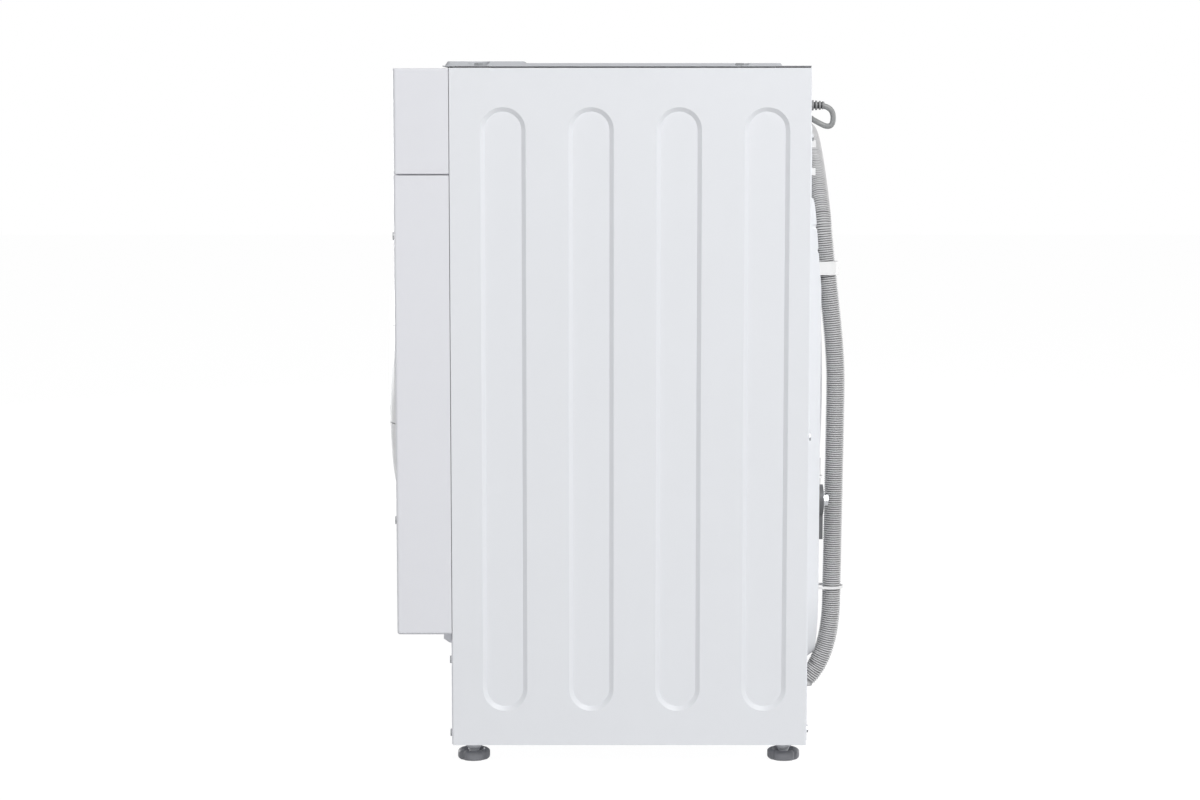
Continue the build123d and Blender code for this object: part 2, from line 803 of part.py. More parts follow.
def drawer_front():
    """Front of the drawer with a finger recess along its lower edge."""
    x0 = drawer_x0 - 4
    x1 = drawer_x1 + 4
    z0 = drawer_centre_z - drawer_front_height / 2
    z1 = drawer_centre_z + drawer_front_height / 2
    front = slab(rounded(x0, x1, z0, z1, 2.5), front_face - 1.5, drawer_y0)
    grip = slab(rounded(x0 + 22, x1 - 22, z0 + 9, z0 + 33, 8), front_face - 2.5, front_face + 4)
    shade = block(x0 + 22, x1 - 22, front_face - 2.5, front_face + 1, z0 + 26, z0 + 34)
    return front - grip + (shade & slab(rounded(x0, x1, z0, z1, 2.5), front_face - 1.5, front_face + 1))


def dispenser_housing():
    """Box that the drawer slides into, with the spray lid on top and the outlet below."""
    gap = loose_gap
    wall = 2.0
    x0 = drawer_x0 - gap - wall
    x1 = drawer_x1 + gap + wall
    z0 = drawer_z0 - gap - wall
    z1 = drawer_z1 + gap + wall
    y0 = drawer_y0 + 4
    y1 = drawer_y1 + 16 + wall
    box = block(x0, x1, y0, y1, z0, z1)
    hollow = block(x0 + wall, x1 - wall, y0 - 1, y1 - wall, z0 + wall, z1 - wall)
    box = box - hollow
    outlet = bar_z(dispenser_outlet_x, dispenser_outlet_y, 17, z0 - 14, z0 + 0.5)
    box = box + outlet - bar_z(dispenser_outlet_x, dispenser_outlet_y, 14.5, z0 - 15, z0 + wall + 0.5)
    nozzle = bar_y(water_x, inlet_z, 6, y1 - 1, y1 + 14)
    lid = block(x0 + 10, x1 - 10, y0 + 40, y1, z1, z1 + 5)
    ear = block(x0 + 20, x1 - 20, cabinet_front + 8, cabinet_front + 46, z1 + 5, panel_top)
    return box + lid + nozzle + ear


def inlet_valve():
    """Double solenoid valve: threaded spigot through the rear web, body and two coils."""
    face = cabinet_back - sheet
    body = block(inlet_x - 18, inlet_x + 18, face - 26, face, inlet_z - 14, inlet_z + 14)
    spigot = bar_y(inlet_x, inlet_z, inlet_radius, face - 1, cabinet_back + 20)
    bore = bar_y(inlet_x, inlet_z, 9, cabinet_back - 6, cabinet_back + 21)
    coils = bar_y(inlet_x - 9.5, inlet_z, 8.5, face - 56, face - 26)
    coils = coils + bar_y(inlet_x + 9.5, inlet_z, 8.5, face - 56, face - 26)
    outlet = bar_z(inlet_x, face - 13, 6, inlet_z - 30, inlet_z - 13)
    return body + spigot - bore + coils + outlet


def water_hoses():
    """Hose from the valve to the drawer housing, and bellows from there down to the tub."""
    valve_y = cabinet_back - sheet - 13
    housing_y = drawer_y1 + 32.0
    low_z = inlet_z - 58
    fill = bent_tube(
        [
            (inlet_x, valve_y, inlet_z - 30),
            (inlet_x, valve_y, low_z),
            (inlet_x, valve_y - 60, low_z),
            (water_x, housing_y + 40, inlet_z),
            (water_x, housing_y, inlet_z),
        ],
        [14, 14, 14],
        7,
    )
    top = drawer_z0 - loose_gap - 16.0
    x = dispenser_outlet_x
    low = bellows_low
    outline = [(14.5, low), (19, low)]
    fold_count = 3
    fold = (top - low) / fold_count
    for index in range(fold_count):
        outline += [(19, low + fold * (index + 0.25)),
                    (bellows_radius, low + fold * (index + 0.5)),
                    (19, low + fold * (index + 0.75))]
    outline += [(19, top), (14.5, top)]
    bellows = revolve(Plane.XZ * Polygon(*outline, align=None), Axis.Z)
    return [fill, Pos(x, dispenser_outlet_y, 0) * bellows, sump_hose()]


def sump_hose():
    """Hose from the bottom of the tub to the side of the filter housing."""
    top = drum_height - math.sqrt(tub_outer**2 - sump_x**2) - 14.0
    return bent_tube(
        [
            (sump_x, sump_y, top),
            (sump_x, sump_y, pump_z + 22),
            (sump_x, pump_front + 70, pump_z),
            (pump_x - 47, pump_front + 70, pump_z),
        ],
        [30, 26],
        17,
        13.5,
    )


def pressure_switch():
    """Level switch: a flat drum with its air nipple, on the rear web's inner face."""
    face = cabinet_back - sheet
    x = half_width - 52
    z = panel_top - 42
    body = bar_y(x, z, 20, face - 22, face) + bar_y(x, z, 12, face - 30, face - 22)
    return body + bar_z(x, face - 11, 3, z - 34, z - 19)


# Tub and what hangs on it


def tub_front():
    """Front half of the tub, with the neck that the gasket grips."""
    y0 = tub_front_y
    y1 = tub_joint_y
    lip = tub_outer + tub_flange
    half = turned(
        (tub_neck, y0 - 14),
        (tub_neck + 6, y0 - 14),
        (tub_neck + 6, y0 - 10),
        (tub_neck + 3, y0 - 10),
        (tub_neck + 3, y0),
        (tub_outer - 12, y0),
        (tub_outer, y0 + 12),
        (tub_outer, y1 - 8),
        (lip, y1 - 8),
        (lip, y1),
        (tub_radius, y1),
        (tub_radius, y0 + 14),
        (tub_radius - 12, y0 + tub_wall),
        (tub_neck, y0 + tub_wall),
    )
    for turn in weight_bolt_turns():
        half = half + bolt_boss(turn, weight_bolt_radius, 11, y0, y0 + 16)
        half = half - bolt_boss(turn, weight_bolt_radius, 4.2, y0 - 1, y0 + 14)
    stub = bar_z(dispenser_outlet_x, dispenser_outlet_y, 19, drum_height + 120, bellows_low)
    stub = stub - bar_y(0, drum_height, tub_outer - 1, y0, y1)
    half = half + stub
    return half - bar_z(dispenser_outlet_x, dispenser_outlet_y, 14.5, drum_height + 100, bellows_low + 1)


def bolt_boss(turn, radius, size, y0, y1):
    """A round bar along Y at an angle and a distance round the drum axis."""
    x = radius * math.cos(math.radians(turn))
    z = drum_height + radius * math.sin(math.radians(turn))
    return bar_y(x, z, size, y0, y1)


def weight_bolt_turns():
    """Angles of the front counterweights' bolts."""
    return [45, 135, 225, 315]


def tub_clip_turns():
    """Angles of the clips that join the two halves of the tub."""
    return [15 + 30 * step for step in range(12)]


def tub_rear():
    """Rear half of the tub: shell, ribbed wall, bearing hub, spring and damper lugs."""
    y0 = tub_joint_y
    wall_in = tub_back
    wall_out = wall_in + 4
    lip = tub_outer + tub_flange
    half = turned(
        (tub_radius, y0),
        (lip, y0),
        (lip, y0 + 8),
        (tub_outer, y0 + 8),
        (tub_outer, wall_out - 10),
        (tub_outer - 10, wall_out),
        (hub_radius, wall_out),
        (hub_radius - 4, hub_back),
        (hub_bore, hub_back),
        (hub_bore, wall_in - 3),
        (hub_radius, wall_in - 3),
        (hub_radius + 4, wall_in),
        (tub_radius - 10, wall_in),
        (tub_radius, wall_in - 10),
    )
    half = half + hub_ribs(wall_out)
    half = half - bearing_seats()
    for side in (-1, 1):
        half = half + spring_lug(side) + damper_lug(side)
    half = half + weight_pads() + motor_lugs()
    for x, z in transport_places():
        half = half + bar_y(x, z, 10, wall_out - 1, wall_out + 20)
        half = half - bar_y(x, z, 4.2, wall_out + 2, wall_out + 21)
    half = half - heater_slot()
    tub_core = bar_y(0, drum_height, tub_radius - 0.01, y0 - 20, wall_in - 11)
    return half - tub_core + sump_port()


def hub_ribs(y0):
    """Radial ribs on the tub's rear wall."""
    rib_height = 12.0
    rib = block(hub_radius - 6, tub_outer - 14, y0 - 0.5, y0 + rib_height, -2, 2)
    ribs = [door_axis * Rot(0, 45 * step, 0) * rib for step in range(8)]
    return ribs[0].fuse(*ribs[1:])


def bearing_seats():
    """Stepped bore for the seal and both bearings."""
    return turned(
        (0, seal_front - 1),
        (bearing_front_radius, seal_front - 1),
        (bearing_front_radius, bearing_front_y + bearing_width),
        (hub_bore, bearing_front_y + bearing_width),
        (hub_bore, bearing_rear_y),
        (bearing_rear_radius, bearing_rear_y),
        (bearing_rear_radius, hub_back + 1),
        (0, hub_back + 1),
    )


def shaft_bearings():
    """Front and rear ball bearings as rings, and the lip seal in front of them."""
    seal = bearing_ring(bearing_front_radius, seal_front, seal_width, shaft_radius + 0.3)
    front = bearing_ring(bearing_front_radius, bearing_front_y, bearing_width, shaft_radius + running_gap)
    rear = bearing_ring(bearing_rear_radius, bearing_rear_y, bearing_width, shaft_nose_radius + running_gap)
    return [seal, front, rear]


def bearing_ring(outer, y0, width, bore):
    """A plain ring about the drum axis."""
    y1 = y0 + width
    return turned((bore, y0), (outer, y0), (outer, y1), (bore, y1))


def spring_lug(side):
    """Ear on the tub that a spring hooks into."""
    z = spring_lug_z
    x_far = spring_x + 6
    x_near = math.sqrt(tub_outer**2 - (z - drum_height) ** 2) - 6
    x0, x1 = sorted((side * x_near, side * x_far))
    arm = block(x0, x1, spring_y - 3, spring_y + 3, z - 16, z + 8)
    return arm - bar_y(side * spring_x, z, spring_eye, spring_y - 5, spring_y + 5)


def damper_lug(side):
    """Pair of ears on the tub that a damper's upper eye sits between."""
    x, z = damper_high(side)
    ears = block(x - 11, x + 11, spring_y - 14, spring_y + 14, z, z + 62)
    ears = ears + bar_y(x, z, 11, spring_y - 14, spring_y + 14)
    ears = ears - block(x - 20, x + 20, spring_y - 12, spring_y + 12, z - 20, z + 80)
    ears = ears - bar_y(x, z, 4 + running_gap, spring_y - 20, spring_y + 20)
    return ears - bar_y(0, drum_height, tub_outer - 1, spring_y - 20, spring_y + 20)


def weight_pads():
    """Two flat pads on top of the tub, which the upper counterweight sits on."""
    pads = []
    for x in weight_pad_places():
        pad = block(x - 20, x + 20, tub_joint_y + 14, tub_back - 20, drum_height + 200, weight_base_z)
        pad = pad - bar_y(0, drum_height, tub_outer - 1, tub_joint_y, tub_back)
        pads.append(pad - bar_z(x, weight_middle_y(), 4.2, weight_base_z - 12, weight_base_z + 1))
    return pads[0] + pads[1]


def weight_pad_places():
    """Centres along X of the pads, and of the upper counterweight's bolts."""
    return [-60.0, 60.0]


def weight_middle_y():
    """Middle of the upper counterweight along Y."""
    return (tub_joint_y + tub_back) / 2 - 3


def motor_lugs():
    """Two hangers under the tub for the motor's bolts."""
    lugs = []
    for x, z in motor_bolt_places():
        lug = block(x - 7, x + 7, motor_y0 + 20, motor_y0 + motor_length - 30, z - 7, z + 46)
        lug = lug - bar_y(0, drum_height, tub_outer - 1, motor_y0, motor_y0 + motor_length)
        lugs.append(lug - bar_y(x, z, 4.2, motor_y0, motor_y0 + motor_length))
    return lugs[0] + lugs[1]


def motor_bolt_places():
    """Centres of the two bolts that the motor hangs on."""
    return [(motor_x - 50, motor_z + 52), (motor_x + 54, motor_z + 26)]


def heater_slot():
    """Slot in the tub's rear wall for the heating element's seal."""
    z = heater_z
    return block(-42, 42, tub_back - 4, tub_back + 20, z - 8, z + 8)


def sump_port():
    """Outlet at the bottom of the tub, towards the pump."""
    z = drum_height - math.sqrt(tub_outer**2 - sump_x**2)
    port = bar_z(sump_x, sump_y, 20, z - 14, z + 12)
    port = port - bar_y(0, drum_height, tub_radius + 0.5, sump_y - 40, sump_y + 40)
    return port - bar_z(sump_x, sump_y, 17, z - 15, z + 20)


def heating_element():
    """Tubular element bent into a long U, with its seal block and two terminals."""
    half = 30.0
    y1 = tub_back - 1
    y0 = y1 - 250
    corners = [(-half, y1, heater_z), (-half, y0, heater_z), (half, y0, heater_z), (half, y1, heater_z)]
    tube = bent_tube(corners, [26, 26], 3.5)
    seal = block(-41.7, 41.7, y1, y1 + 9, heater_z - 7.7, heater_z + 7.7)
    pins = bar_y(-half, heater_z, 2.5, y1 + 9, y1 + 20) + bar_y(half, heater_z, 2.5, y1 + 9, y1 + 20)
    return tube + seal + pins


def counterweights():
    """Two concrete crescents on the front of the tub and a block on top of it."""
    crescents = [crescent(90), crescent(270)]
    y0 = tub_joint_y + 14
    y1 = tub_back - 20
    block_top = block(-95, 95, y0, y1, weight_base_z, weight_base_z + 34)
    block_top = fillet(block_top.edges().filter_by(Axis.Z), 14)
    for x in weight_pad_places():
        block_top = block_top - bar_z(x, weight_middle_y(), 4.2, weight_base_z - 1, weight_base_z + 40)
    return crescents + [block_top]


def crescent(middle):
    """One arched weight round the door opening."""
    y1 = tub_front_y
    y0 = y1 - 44
    ring = turned((184, y0 + 6), (190, y0), (244, y0), (250, y0 + 6), (250, y1), (184, y1))
    span = 150.0
    reach = 600.0
    a0 = math.radians(middle - span / 2)
    a1 = math.radians(middle + span / 2)
    wedge = Polygon((0, 0), (reach * math.cos(a0), reach * math.sin(a0)),
                    (0, reach * math.sin(math.radians(middle))),
                    (reach * math.cos(a1), reach * math.sin(a1)), align=None)
    piece = ring & slab(Pos(0, drum_height) * wedge, y0 - 1, y1 + 1)
    for turn in weight_bolt_turns():
        if abs(turn - middle) < span / 2:
            piece = piece - bolt_boss(turn, weight_bolt_radius, 4.2, y0 - 1, y1 + 1)
    return piece


def suspension_springs():
    """The two tub springs: plain closed coil bodies with a hook at each end."""
    slack = spring_eye - spring_wire - 0.3
    top = spring_hanger_z - slack
    low = spring_lug_z + slack
    spring = bar_z(spring_x, spring_y - 6, 9, low + 24, top - 24)
    spring = spring + spring_hook(top, top - 25) + spring_hook(low, low + 25)
    return [spring, mirrored_x(spring)]


def spring_hook(eye, start):
    """Hook from the coil body past the edge of a plate and through its eye."""
    y = spring_y - 6
    return bent_tube([(spring_x, y, start), (spring_x, y, eye), (spring_x, y + 14, eye)], [2.6], spring_wire)


def dampers():
    """The two friction dampers between the tub and the base pan, with their pins."""
    low_x, low_z = damper_low(1)
    high_x, high_z = damper_high(1)
    length = math.hypot(high_x - low_x, high_z - low_z)
    lean = math.degrees(math.atan2(high_x - low_x, high_z - low_z))
    sleeve = bar_z(0, 0, 13, 14, length * 0.62)
    rod = bar_z(0, 0, 5, length * 0.62, length - 7)
    eyes = bar_y(0, 0, 9, -11.6, 11.6) + bar_y(0, length, 8, -11.6, 11.6)
    pins = bar_y(0, 0, 4, -16, 16) + bar_y(0, length, 4, -16, 16)
    neck = bar_z(0, 0, 6, 5, 15)
    damper = Pos(low_x, spring_y, low_z) * Rot(0, lean, 0) * (sleeve + rod + eyes + pins + neck)
    return [damper, mirrored_x(damper)]


def tub_clips():
    """Clips that straddle the tub's joint, and the wire rings that hold the gasket."""
    lip = tub_outer + tub_flange
    reach = loose_gap / 2
    clip = block(lip - 9, lip + 2, tub_joint_y - 8 - 2, tub_joint_y + 8 + 2, -11, 11)
    clip = clip - block(lip - 10, lip + reach, tub_joint_y - 8 - reach, tub_joint_y + 8 + reach, -12, 12)
    clips = [door_axis * Rot(0, turn, 0) * clip for turn in tub_clip_turns()]
    rear_bore = tub_neck + 9.7
    front_bore = opening_radius + 4.8
    rear = gasket_wire(rear_bore, rear_bore + 3, tub_front_y - 10, tub_front_y - 6)
    front = gasket_wire(front_bore, front_bore + 1.5, front_face + 18, front_face + 21)
    return clips + [rear, front]


def gasket_wire(inner, outer, y0, y1):
    """One tensioned ring round the gasket."""
    return turned((inner, y0), (outer, y0), (outer, y1), (inner, y1))


def door_gasket():
    """Rubber gasket: grips the front panel's lip and the tub's neck, with a fold and a sealing lip."""
    front = front_face + recess_depth + sheet + 0.3
    neck = tub_front_y - 14
    fold = opening_radius + 11
    grip = tub_neck + 6.4
    seal = window_radius + 3.5
    lip = opening_radius + sheet + 0.3
    return turned(
        (lip, front),
        (lip + 3.2, front),
        (lip + 3.2, front + 36),
        (fold + 9, front + 48),
        (fold, front + 57),
        (grip + 3.1, neck - 5),
        (grip + 3.1, neck + 10.5),
        (grip, neck + 10.5),
        (grip, neck - 0.4),
        (tub_neck - 0.4, neck - 0.4),
        (fold - 3.6, front + 57),
        (fold + 4.4, front + 48),
        (opening_radius + 1.2, front + 37.5),
        (opening_radius, front + 16),
        (seal + 1, front + 10),
        (seal, front + 8),
        (seal + 3.5, front + 5),
        (lip, front + 10),
    )


def drive_belt():
    """Flat ribbed belt round the drum pulley and the motor pulley."""
    inner = pulley_loop(0.3)
    outer = pulley_loop(0.3 + belt_thickness)
    return slab(outer - inner, belt_front, belt_front + belt_width)


def pulley_loop(gap):
    """Hull of both pulleys, each wider by a gap."""
    large = Pos(0, drum_height) * Circle(drum_pulley_radius + gap)
    small = Pos(motor_x, motor_z) * Circle(motor_pulley_radius + gap)
    return make_hull(large.edges() + small.edges())


def motor():
    """Motor hung under the tub: body, end shields, four ears and the shaft."""
    y0 = motor_y0
    y1 = y0 + motor_length
    body = bar_y(motor_x, motor_z, motor_radius, y0 + 12, y1 - 12)
    shields = bar_y(motor_x, motor_z, motor_radius - 8, y0, y1)
    shaft = bar_y(motor_x, motor_z, 6, y1 - 5, pulley_front + pulley_width + 2)
    motor_body = body + shields + shaft
    for x, z in motor_bolt_places():
        for start in (y0 + 13, y0 + motor_length - 29.7):
            motor_body = motor_body + motor_ear(x, z, start)
    return motor_body


def motor_ear(x, z, y0):
    """One ear from the motor body out to a mounting bolt."""
    turn = math.degrees(math.atan2(z - motor_z, x - motor_x))
    reach = math.hypot(x - motor_x, z - motor_z)
    arm = Pos(motor_x, motor_z) * Rot(0, 0, turn) * Pos(reach / 2, 0) * Rectangle(reach, 14)
    ear = slab(arm + Pos(x, z) * Circle(7), y0, y0 + 6.7)
    return ear - bar_y(x, z, 4.2, y0 - 1, y0 + 8)


def motor_pulley():
    """Small pulley on the motor shaft, with a flange on each side."""
    y0 = pulley_front
    y1 = y0 + pulley_width
    pulley = bar_y(motor_x, motor_z, motor_pulley_radius, y0, y1)
    for start in (y0, y1 - 1.6):
        pulley = pulley + bar_y(motor_x, motor_z, motor_pulley_radius + 3, start, start + 1.6)
    return pulley - bar_y(motor_x, motor_z, 6 + running_gap, y0 - 1, y1 + 1)


def tub_bolts():
    """Bolts of the counterweights and of the motor."""
    bolts = []
    head_y = tub_front_y - 44
    for turn in weight_bolt_turns():
        x = weight_bolt_radius * math.cos(math.radians(turn))
        z = drum_height + weight_bolt_radius * math.sin(math.radians(turn))
        bolts.append(hex_y(x, z, 13, head_y - 6, head_y) + hex_y(x, z, 7, head_y - 1, tub_front_y + 12))
    for x, z in motor_bolt_places():
        y0 = motor_y0 + 7
        bolts.append(hex_y(x, z, 13, y0, y0 + 6) + hex_y(x, z, 7, y0 + 5, motor_y0 + motor_length - 18))
    top = weight_base_z + 34
    for x in weight_pad_places():
        place = Pos(x, weight_middle_y())
        head = place * Pos(0, 0, top) * extrude(RegularPolygon(7.5, 6), 6)
        shank = place * Pos(0, 0, weight_base_z - 10) * extrude(RegularPolygon(4, 6), 46)
        bolts.append(head + shank)
    return bolts


def drain_pump():
    """Filter housing, volute, outlet elbow and pump motor, standing on the base pan."""
    y0 = pump_front
    housing = bar_y(pump_x, pump_z, 30, y0, y0 + 100)
    inlet = bar_x(y0 + 70, pump_z, 17, pump_x - 47, pump_x)
    lobe = Pos(pump_x, pump_z) * Circle(34)
    throat = Pos(hose_side, hose_floor) * Circle(12)
    volute = slab(make_hull(lobe.edges() + throat.edges()), y0 + 100, y0 + 128)
    rotor_case = bar_y(pump_x, pump_z, 22, y0 + 128, y0 + 172)
    outlet = bar_y(hose_side, hose_floor, hose_bore - 0.3, y0 + 128, y0 + 144)
    legs = block(pump_x - 16, pump_x + 16, y0 + 8, y0 + 118, panel_bottom + 2 * sheet, pump_z - 22)
    pump = housing + volute + rotor_case + inlet + legs + outlet
    return pump - bar_y(pump_x, pump_z, 27, y0 - 1, y0 + 94)


def filter_cap():
    """Screw cap of the filter, with a grip bar across it."""
    y0 = pump_front
    disc = bar_y(pump_x, pump_z, 29, y0 - 3.5, y0 - 0.3)
    plug = bar_y(pump_x, pump_z, 26.6, y0 - 0.4, y0 + 22)
    grip = block(pump_x - 22, pump_x + 22, y0 - 8.5, y0 - 3.4, pump_z - 4, pump_z + 4)
    return disc + plug + grip


# Drum group


def drum():
    """Drum shell: rolled sheet, rear disc with a pressed ring, front annulus with a rolled mouth."""
    y0 = drum_front
    y1 = drum_back
    r = drum_radius
    t = drum_sheet
    shell = turned(
        (drum_mouth, y0 - 6),
        (drum_mouth + t, y0 - 6),
        (drum_mouth + t, y0 - 1),
        (drum_mouth + 5, y0),
        (r - 5, y0),
        (r, y0 + 5),
        (r, y1 - 5),
        (r - 5, y1),
        (0, y1),
        (0, y1 - t),
        (r - 5.4, y1 - t),
        (r - t, y1 - 5.4),
        (r - t, y0 + 5.4),
        (r - 5.4, y0 + t),
        (drum_mouth + 4.5, y0 + t),
        (drum_mouth, y0 - 0.6),
    )
    return shell


def drum_lifters():
    """Three lifters on the inside of the drum."""
    base = drum_radius - 2.6
    tip = base - lifter_height
    outline = Polygon((-25, -base), (25, -base), (9, -tip), (-9, -tip), align=None)
    lifter = slab(outline, drum_front + lifter_front_gap, drum_back - lifter_back_gap)
    long_edges = lifter.edges().filter_by(Axis.Y).sort_by(Axis.Z)[-2:]
    lifter = fillet(long_edges, 6)
    step = 360 / lifter_count
    return [door_axis * Rot(0, 60 + step * index, 0) * lifter for index in range(lifter_count)]


def drum_spider():
    """Cast spider behind the drum with its stepped shaft."""
    y0 = drum_back + 0.3
    hub_end = seal_front - 0.8
    step_y = bearing_rear_y - 0.5
    core = turned(
        (0, y0),
        (34, y0),
        (30, hub_end),
        (shaft_radius, hub_end),
        (shaft_radius, step_y),
        (shaft_nose_radius, step_y),
        (shaft_nose_radius, shaft_end),
        (0, shaft_end),
    )
    arm = Polygon((20, -14), (drum_radius - 14, -9), (drum_radius - 14, 9), (20, 14), align=None)
    for index in range(3):
        turn = 90 + 120 * index
        core = core + slab(Pos(0, drum_height) * Rot(0, 0, turn) * arm, y0, drum_back + 14)
    return core


def drum_pulley():
    """Large dished pulley with five openings, and its centre bolt."""
    y0 = pulley_front
    y1 = y0 + pulley_width
    rim = drum_pulley_radius
    bore = shaft_nose_radius + running_gap
    hub0 = hub_back + 2.0
    hub1 = hub_back + 19.0
    pulley = turned(
        (bore, hub0),
        (64, hub0),
        (rim - 12, y0 + 6),
        (rim - 5, y0 + 6),
        (rim - 5, y0),
        (rim, y0),
        (rim, y1),
        (rim - 5, y1),
        (rim - 5, y0 + 9),
        (rim - 11, y0 + 9),
        (66, hub0 + 4),
        (26, hub0 + 4),
        (26, hub1),
        (bore, hub1),
    )
    for index in range(5):
        turn = math.radians(90 + 72 * index)
        pulley = pulley - bar_y(98 * math.cos(turn), drum_height + 98 * math.sin(turn), 20, y0, hub1)
    washer = bar_y(0, drum_height, 19, shaft_end, shaft_end + 2)
    bolt = hex_y(0, drum_height, 19, shaft_end, shaft_end + 7)
    return [pulley, washer + bolt]


# Door


def door_ring():
    """Outer door ring with its bulging face, glass seat, grip recess and hinge cut."""
    crown = front_face - door_bulge
    rear = front_face + 6.5
    seat = front_face - 5.5
    edge = door_radius
    ring = turned(
        (edge, rear),
        (edge, front_face - 2),
        (edge - 2.5, front_face - 7),
        (edge - 8, front_face - 12),
        (edge - 17, front_face - 16.5),
        (edge - 27, front_face - 19.2),
        (edge - 35, crown),
        (window_radius + 3, front_face - 18.6),
        (window_radius - 1, front_face - 13),
        (window_radius - 1, seat),
        (window_radius + 13, seat),
        (window_radius + 13, front_face - 0.5),
        (edge - 3, front_face - 0.5),
        (edge - 3, rear),
    )
    ring = ring - grip_recess() - grip_slits() - hinge_cut()
    for z in (drum_height + handle_low - 6, drum_height + handle_high - 0.5):
        ring = ring - bar_z(handle_pivot_x, handle_pivot_y, 1.2 + running_gap, z, z + 6.5)
    return ring


def grip_recess():
    """Opening in the door's edge that fingers reach into."""
    return block(handle_pivot_x - 3.5, door_radius + 2, front_face - 7, front_face + 12,
                 drum_height + handle_low, drum_height + handle_high)


def grip_slits():
    """Narrow slits that set the grip apart from the rest of the ring's face."""
    x0 = handle_pivot_x - 12
    y0 = front_face - door_bulge - 1
    slits = []
    for z in (drum_height + handle_low, drum_height + handle_high):
        slits.append(block(x0, door_radius + 2, y0, front_face - 6, z - 0.5, z + 0.5))
    return slits


def hinge_cut():
    """Cut in the door rings for the hinge arm."""
    low = drum_height - 15
    return block(-door_radius - 2, -door_radius + 24, front_face - 8, front_face + 12, low, low + 30)


def door_inner_ring():
    """Rear half of the door's frame, which clamps the glass."""
    rear = front_face + 9.5
    front = front_face - 0.2
    ring = turned(
        (window_radius + 1.5, front - 1),
        (window_radius + 12.6, front - 1),
        (window_radius + 12.6, front),
        (door_radius - 3.4, front),
        (door_radius - 3.4, rear - 2),
        (door_radius - 6, rear),
        (window_radius + 6, rear),
        (window_radius + 1.5, rear - 3),
    )
    return ring - grip_recess() - hinge_cut()


def door_glass():
    """Moulded glass bowl with its clamping flange."""
    y0 = front_face - 5.2
    r = window_radius
    return turned(
        (r + 12, y0),
        (r + 12, y0 + 3.9),
        (r, y0 + 3.9),
        (r - 3, front_face + 16),
        (r - 22, front_face + bowl_depth - 7),
        (r - 30, front_face + bowl_depth),
        (0, front_face + bowl_depth),
        (0, front_face + bowl_depth - glass),
        (r - 32, front_face + bowl_depth - glass),
        (r - 26, front_face + bowl_depth - 9),
        (r - 7, front_face + 15),
        (r - 4, y0 + 4),
        (r - 3, y0),
    )


def door_hinge_base():
    """Hinge bracket on the recess floor with two knuckles and two screws."""
    floor = front_face + recess_depth
    plate_x = 3 - hinge_offset
    plate = block(plate_x, plate_x + 18, floor - 2, floor, drum_height - 40, drum_height + 40)
    base = plate
    for z0 in (drum_height - 30, drum_height + 16):
        base = base + bar_z(-hinge_offset, hinge_y, 6.3, z0, z0 + 14)
        base = base + block(-hinge_offset, -hinge_offset + 6.3, hinge_y, floor - 1, z0, z0 + 14)
    bore = hinge_pin_radius + running_gap
    return base - bar_z(-hinge_offset, hinge_y, bore, drum_height - 41, drum_height + 41)


def door_hinge_arm():
    """Hinge arm with its pin, let into the rear of the door."""
    barrel = bar_z(-hinge_offset, hinge_y, 5.5, drum_height - 14, drum_height + 14)
    low = drum_height - 14
    leaf = block(-hinge_offset, -door_radius + 22, front_face + 2, front_face + 6, low, low + 28)
    pin = bar_z(-hinge_offset, hinge_y, hinge_pin_radius, drum_height - 31, drum_height + 31)
    return barrel + leaf + pin


def door_handle():
    """Pull lever in the grip recess, on two pins."""
    low = drum_height + handle_low + 0.6
    high = drum_height + handle_high - 0.6
    y0 = front_face - 3.5
    lever = block(handle_pivot_x, door_radius, y0, y0 + 3.5, low, high)
    lever = lever & bar_y(0, drum_height, door_radius - 2, y0 - 5, y0 + 10)
    barrel = bar_z(handle_pivot_x, handle_pivot_y, 2.4, low, high)
    pins = bar_z(handle_pivot_x, handle_pivot_y, 1.2, low - 5, high + 5)
    return lever + barrel + pins


def latch_hook():
    """Steel hook on the pull lever, which goes through the slot into the lock."""
    y0 = front_face
    outline = Polygon(
        (hook_x - 7, y0),
        (hook_x + 3, y0),
        (hook_x + 3, y0 + 33),
        (hook_x - 1, y0 + 35),
        (hook_x - 4.5, y0 + 29),
        (hook_x - 2, y0 + 27),
        (hook_x - 2, y0 + 4),
        (hook_x - 7, y0 + 2),
        align=None,
    )
    return Pos(0, 0, hook_z - 3) * extrude(outline, 6)


def door_lock():
    """Interlock housing behind the recess floor, hollow where the hook comes in."""
    y0 = front_face + recess_depth + sheet
    case = block(hook_x - 5.4, hook_x + 38, y0, y0 + 30, hook_z - 22, hook_z + 22)
    pocket = block(hook_x - 5.0, hook_x + 12, y0 - 1, y0 + 26, hook_z - 8, hook_z + 8)
    return case - pocket


# Rear fittings


def hose_points():
    """Corners of the drain hose's route, from the pump up the back, over and down."""
    bend_y = cabinet_back + hose_reach - hose_radius - 2.0
    belly_y = bend_y + 3.3
    left_y = belly_y - 3.8
    shoulder_y = field_back + hose_radius - 1.5
    top_y = shoulder_y - hose_lean
    belly_z = 455.0
    shoulder_z = 585.0
    return [
        (hose_side, pump_front + 134, hose_floor),
        (hose_side, bend_y, hose_floor),
        (hose_side, belly_y, belly_z),
        (hose_side, shoulder_y, shoulder_z),
        (hose_side, top_y, hose_arch_top),
        (-hose_side, top_y, hose_arch_top),
        (-hose_side, shoulder_y, shoulder_z),
        (-hose_side, left_y, belly_z),
        (-hose_side, left_y, drum_height - 175),
    ]


def hose_route():
    """Middle line of the drain hose."""
    arch = hose_side - 1.0
    return FilletPolyline(*hose_points(), radius=[hose_bend, 900, 500, arch, arch, 500, 900])


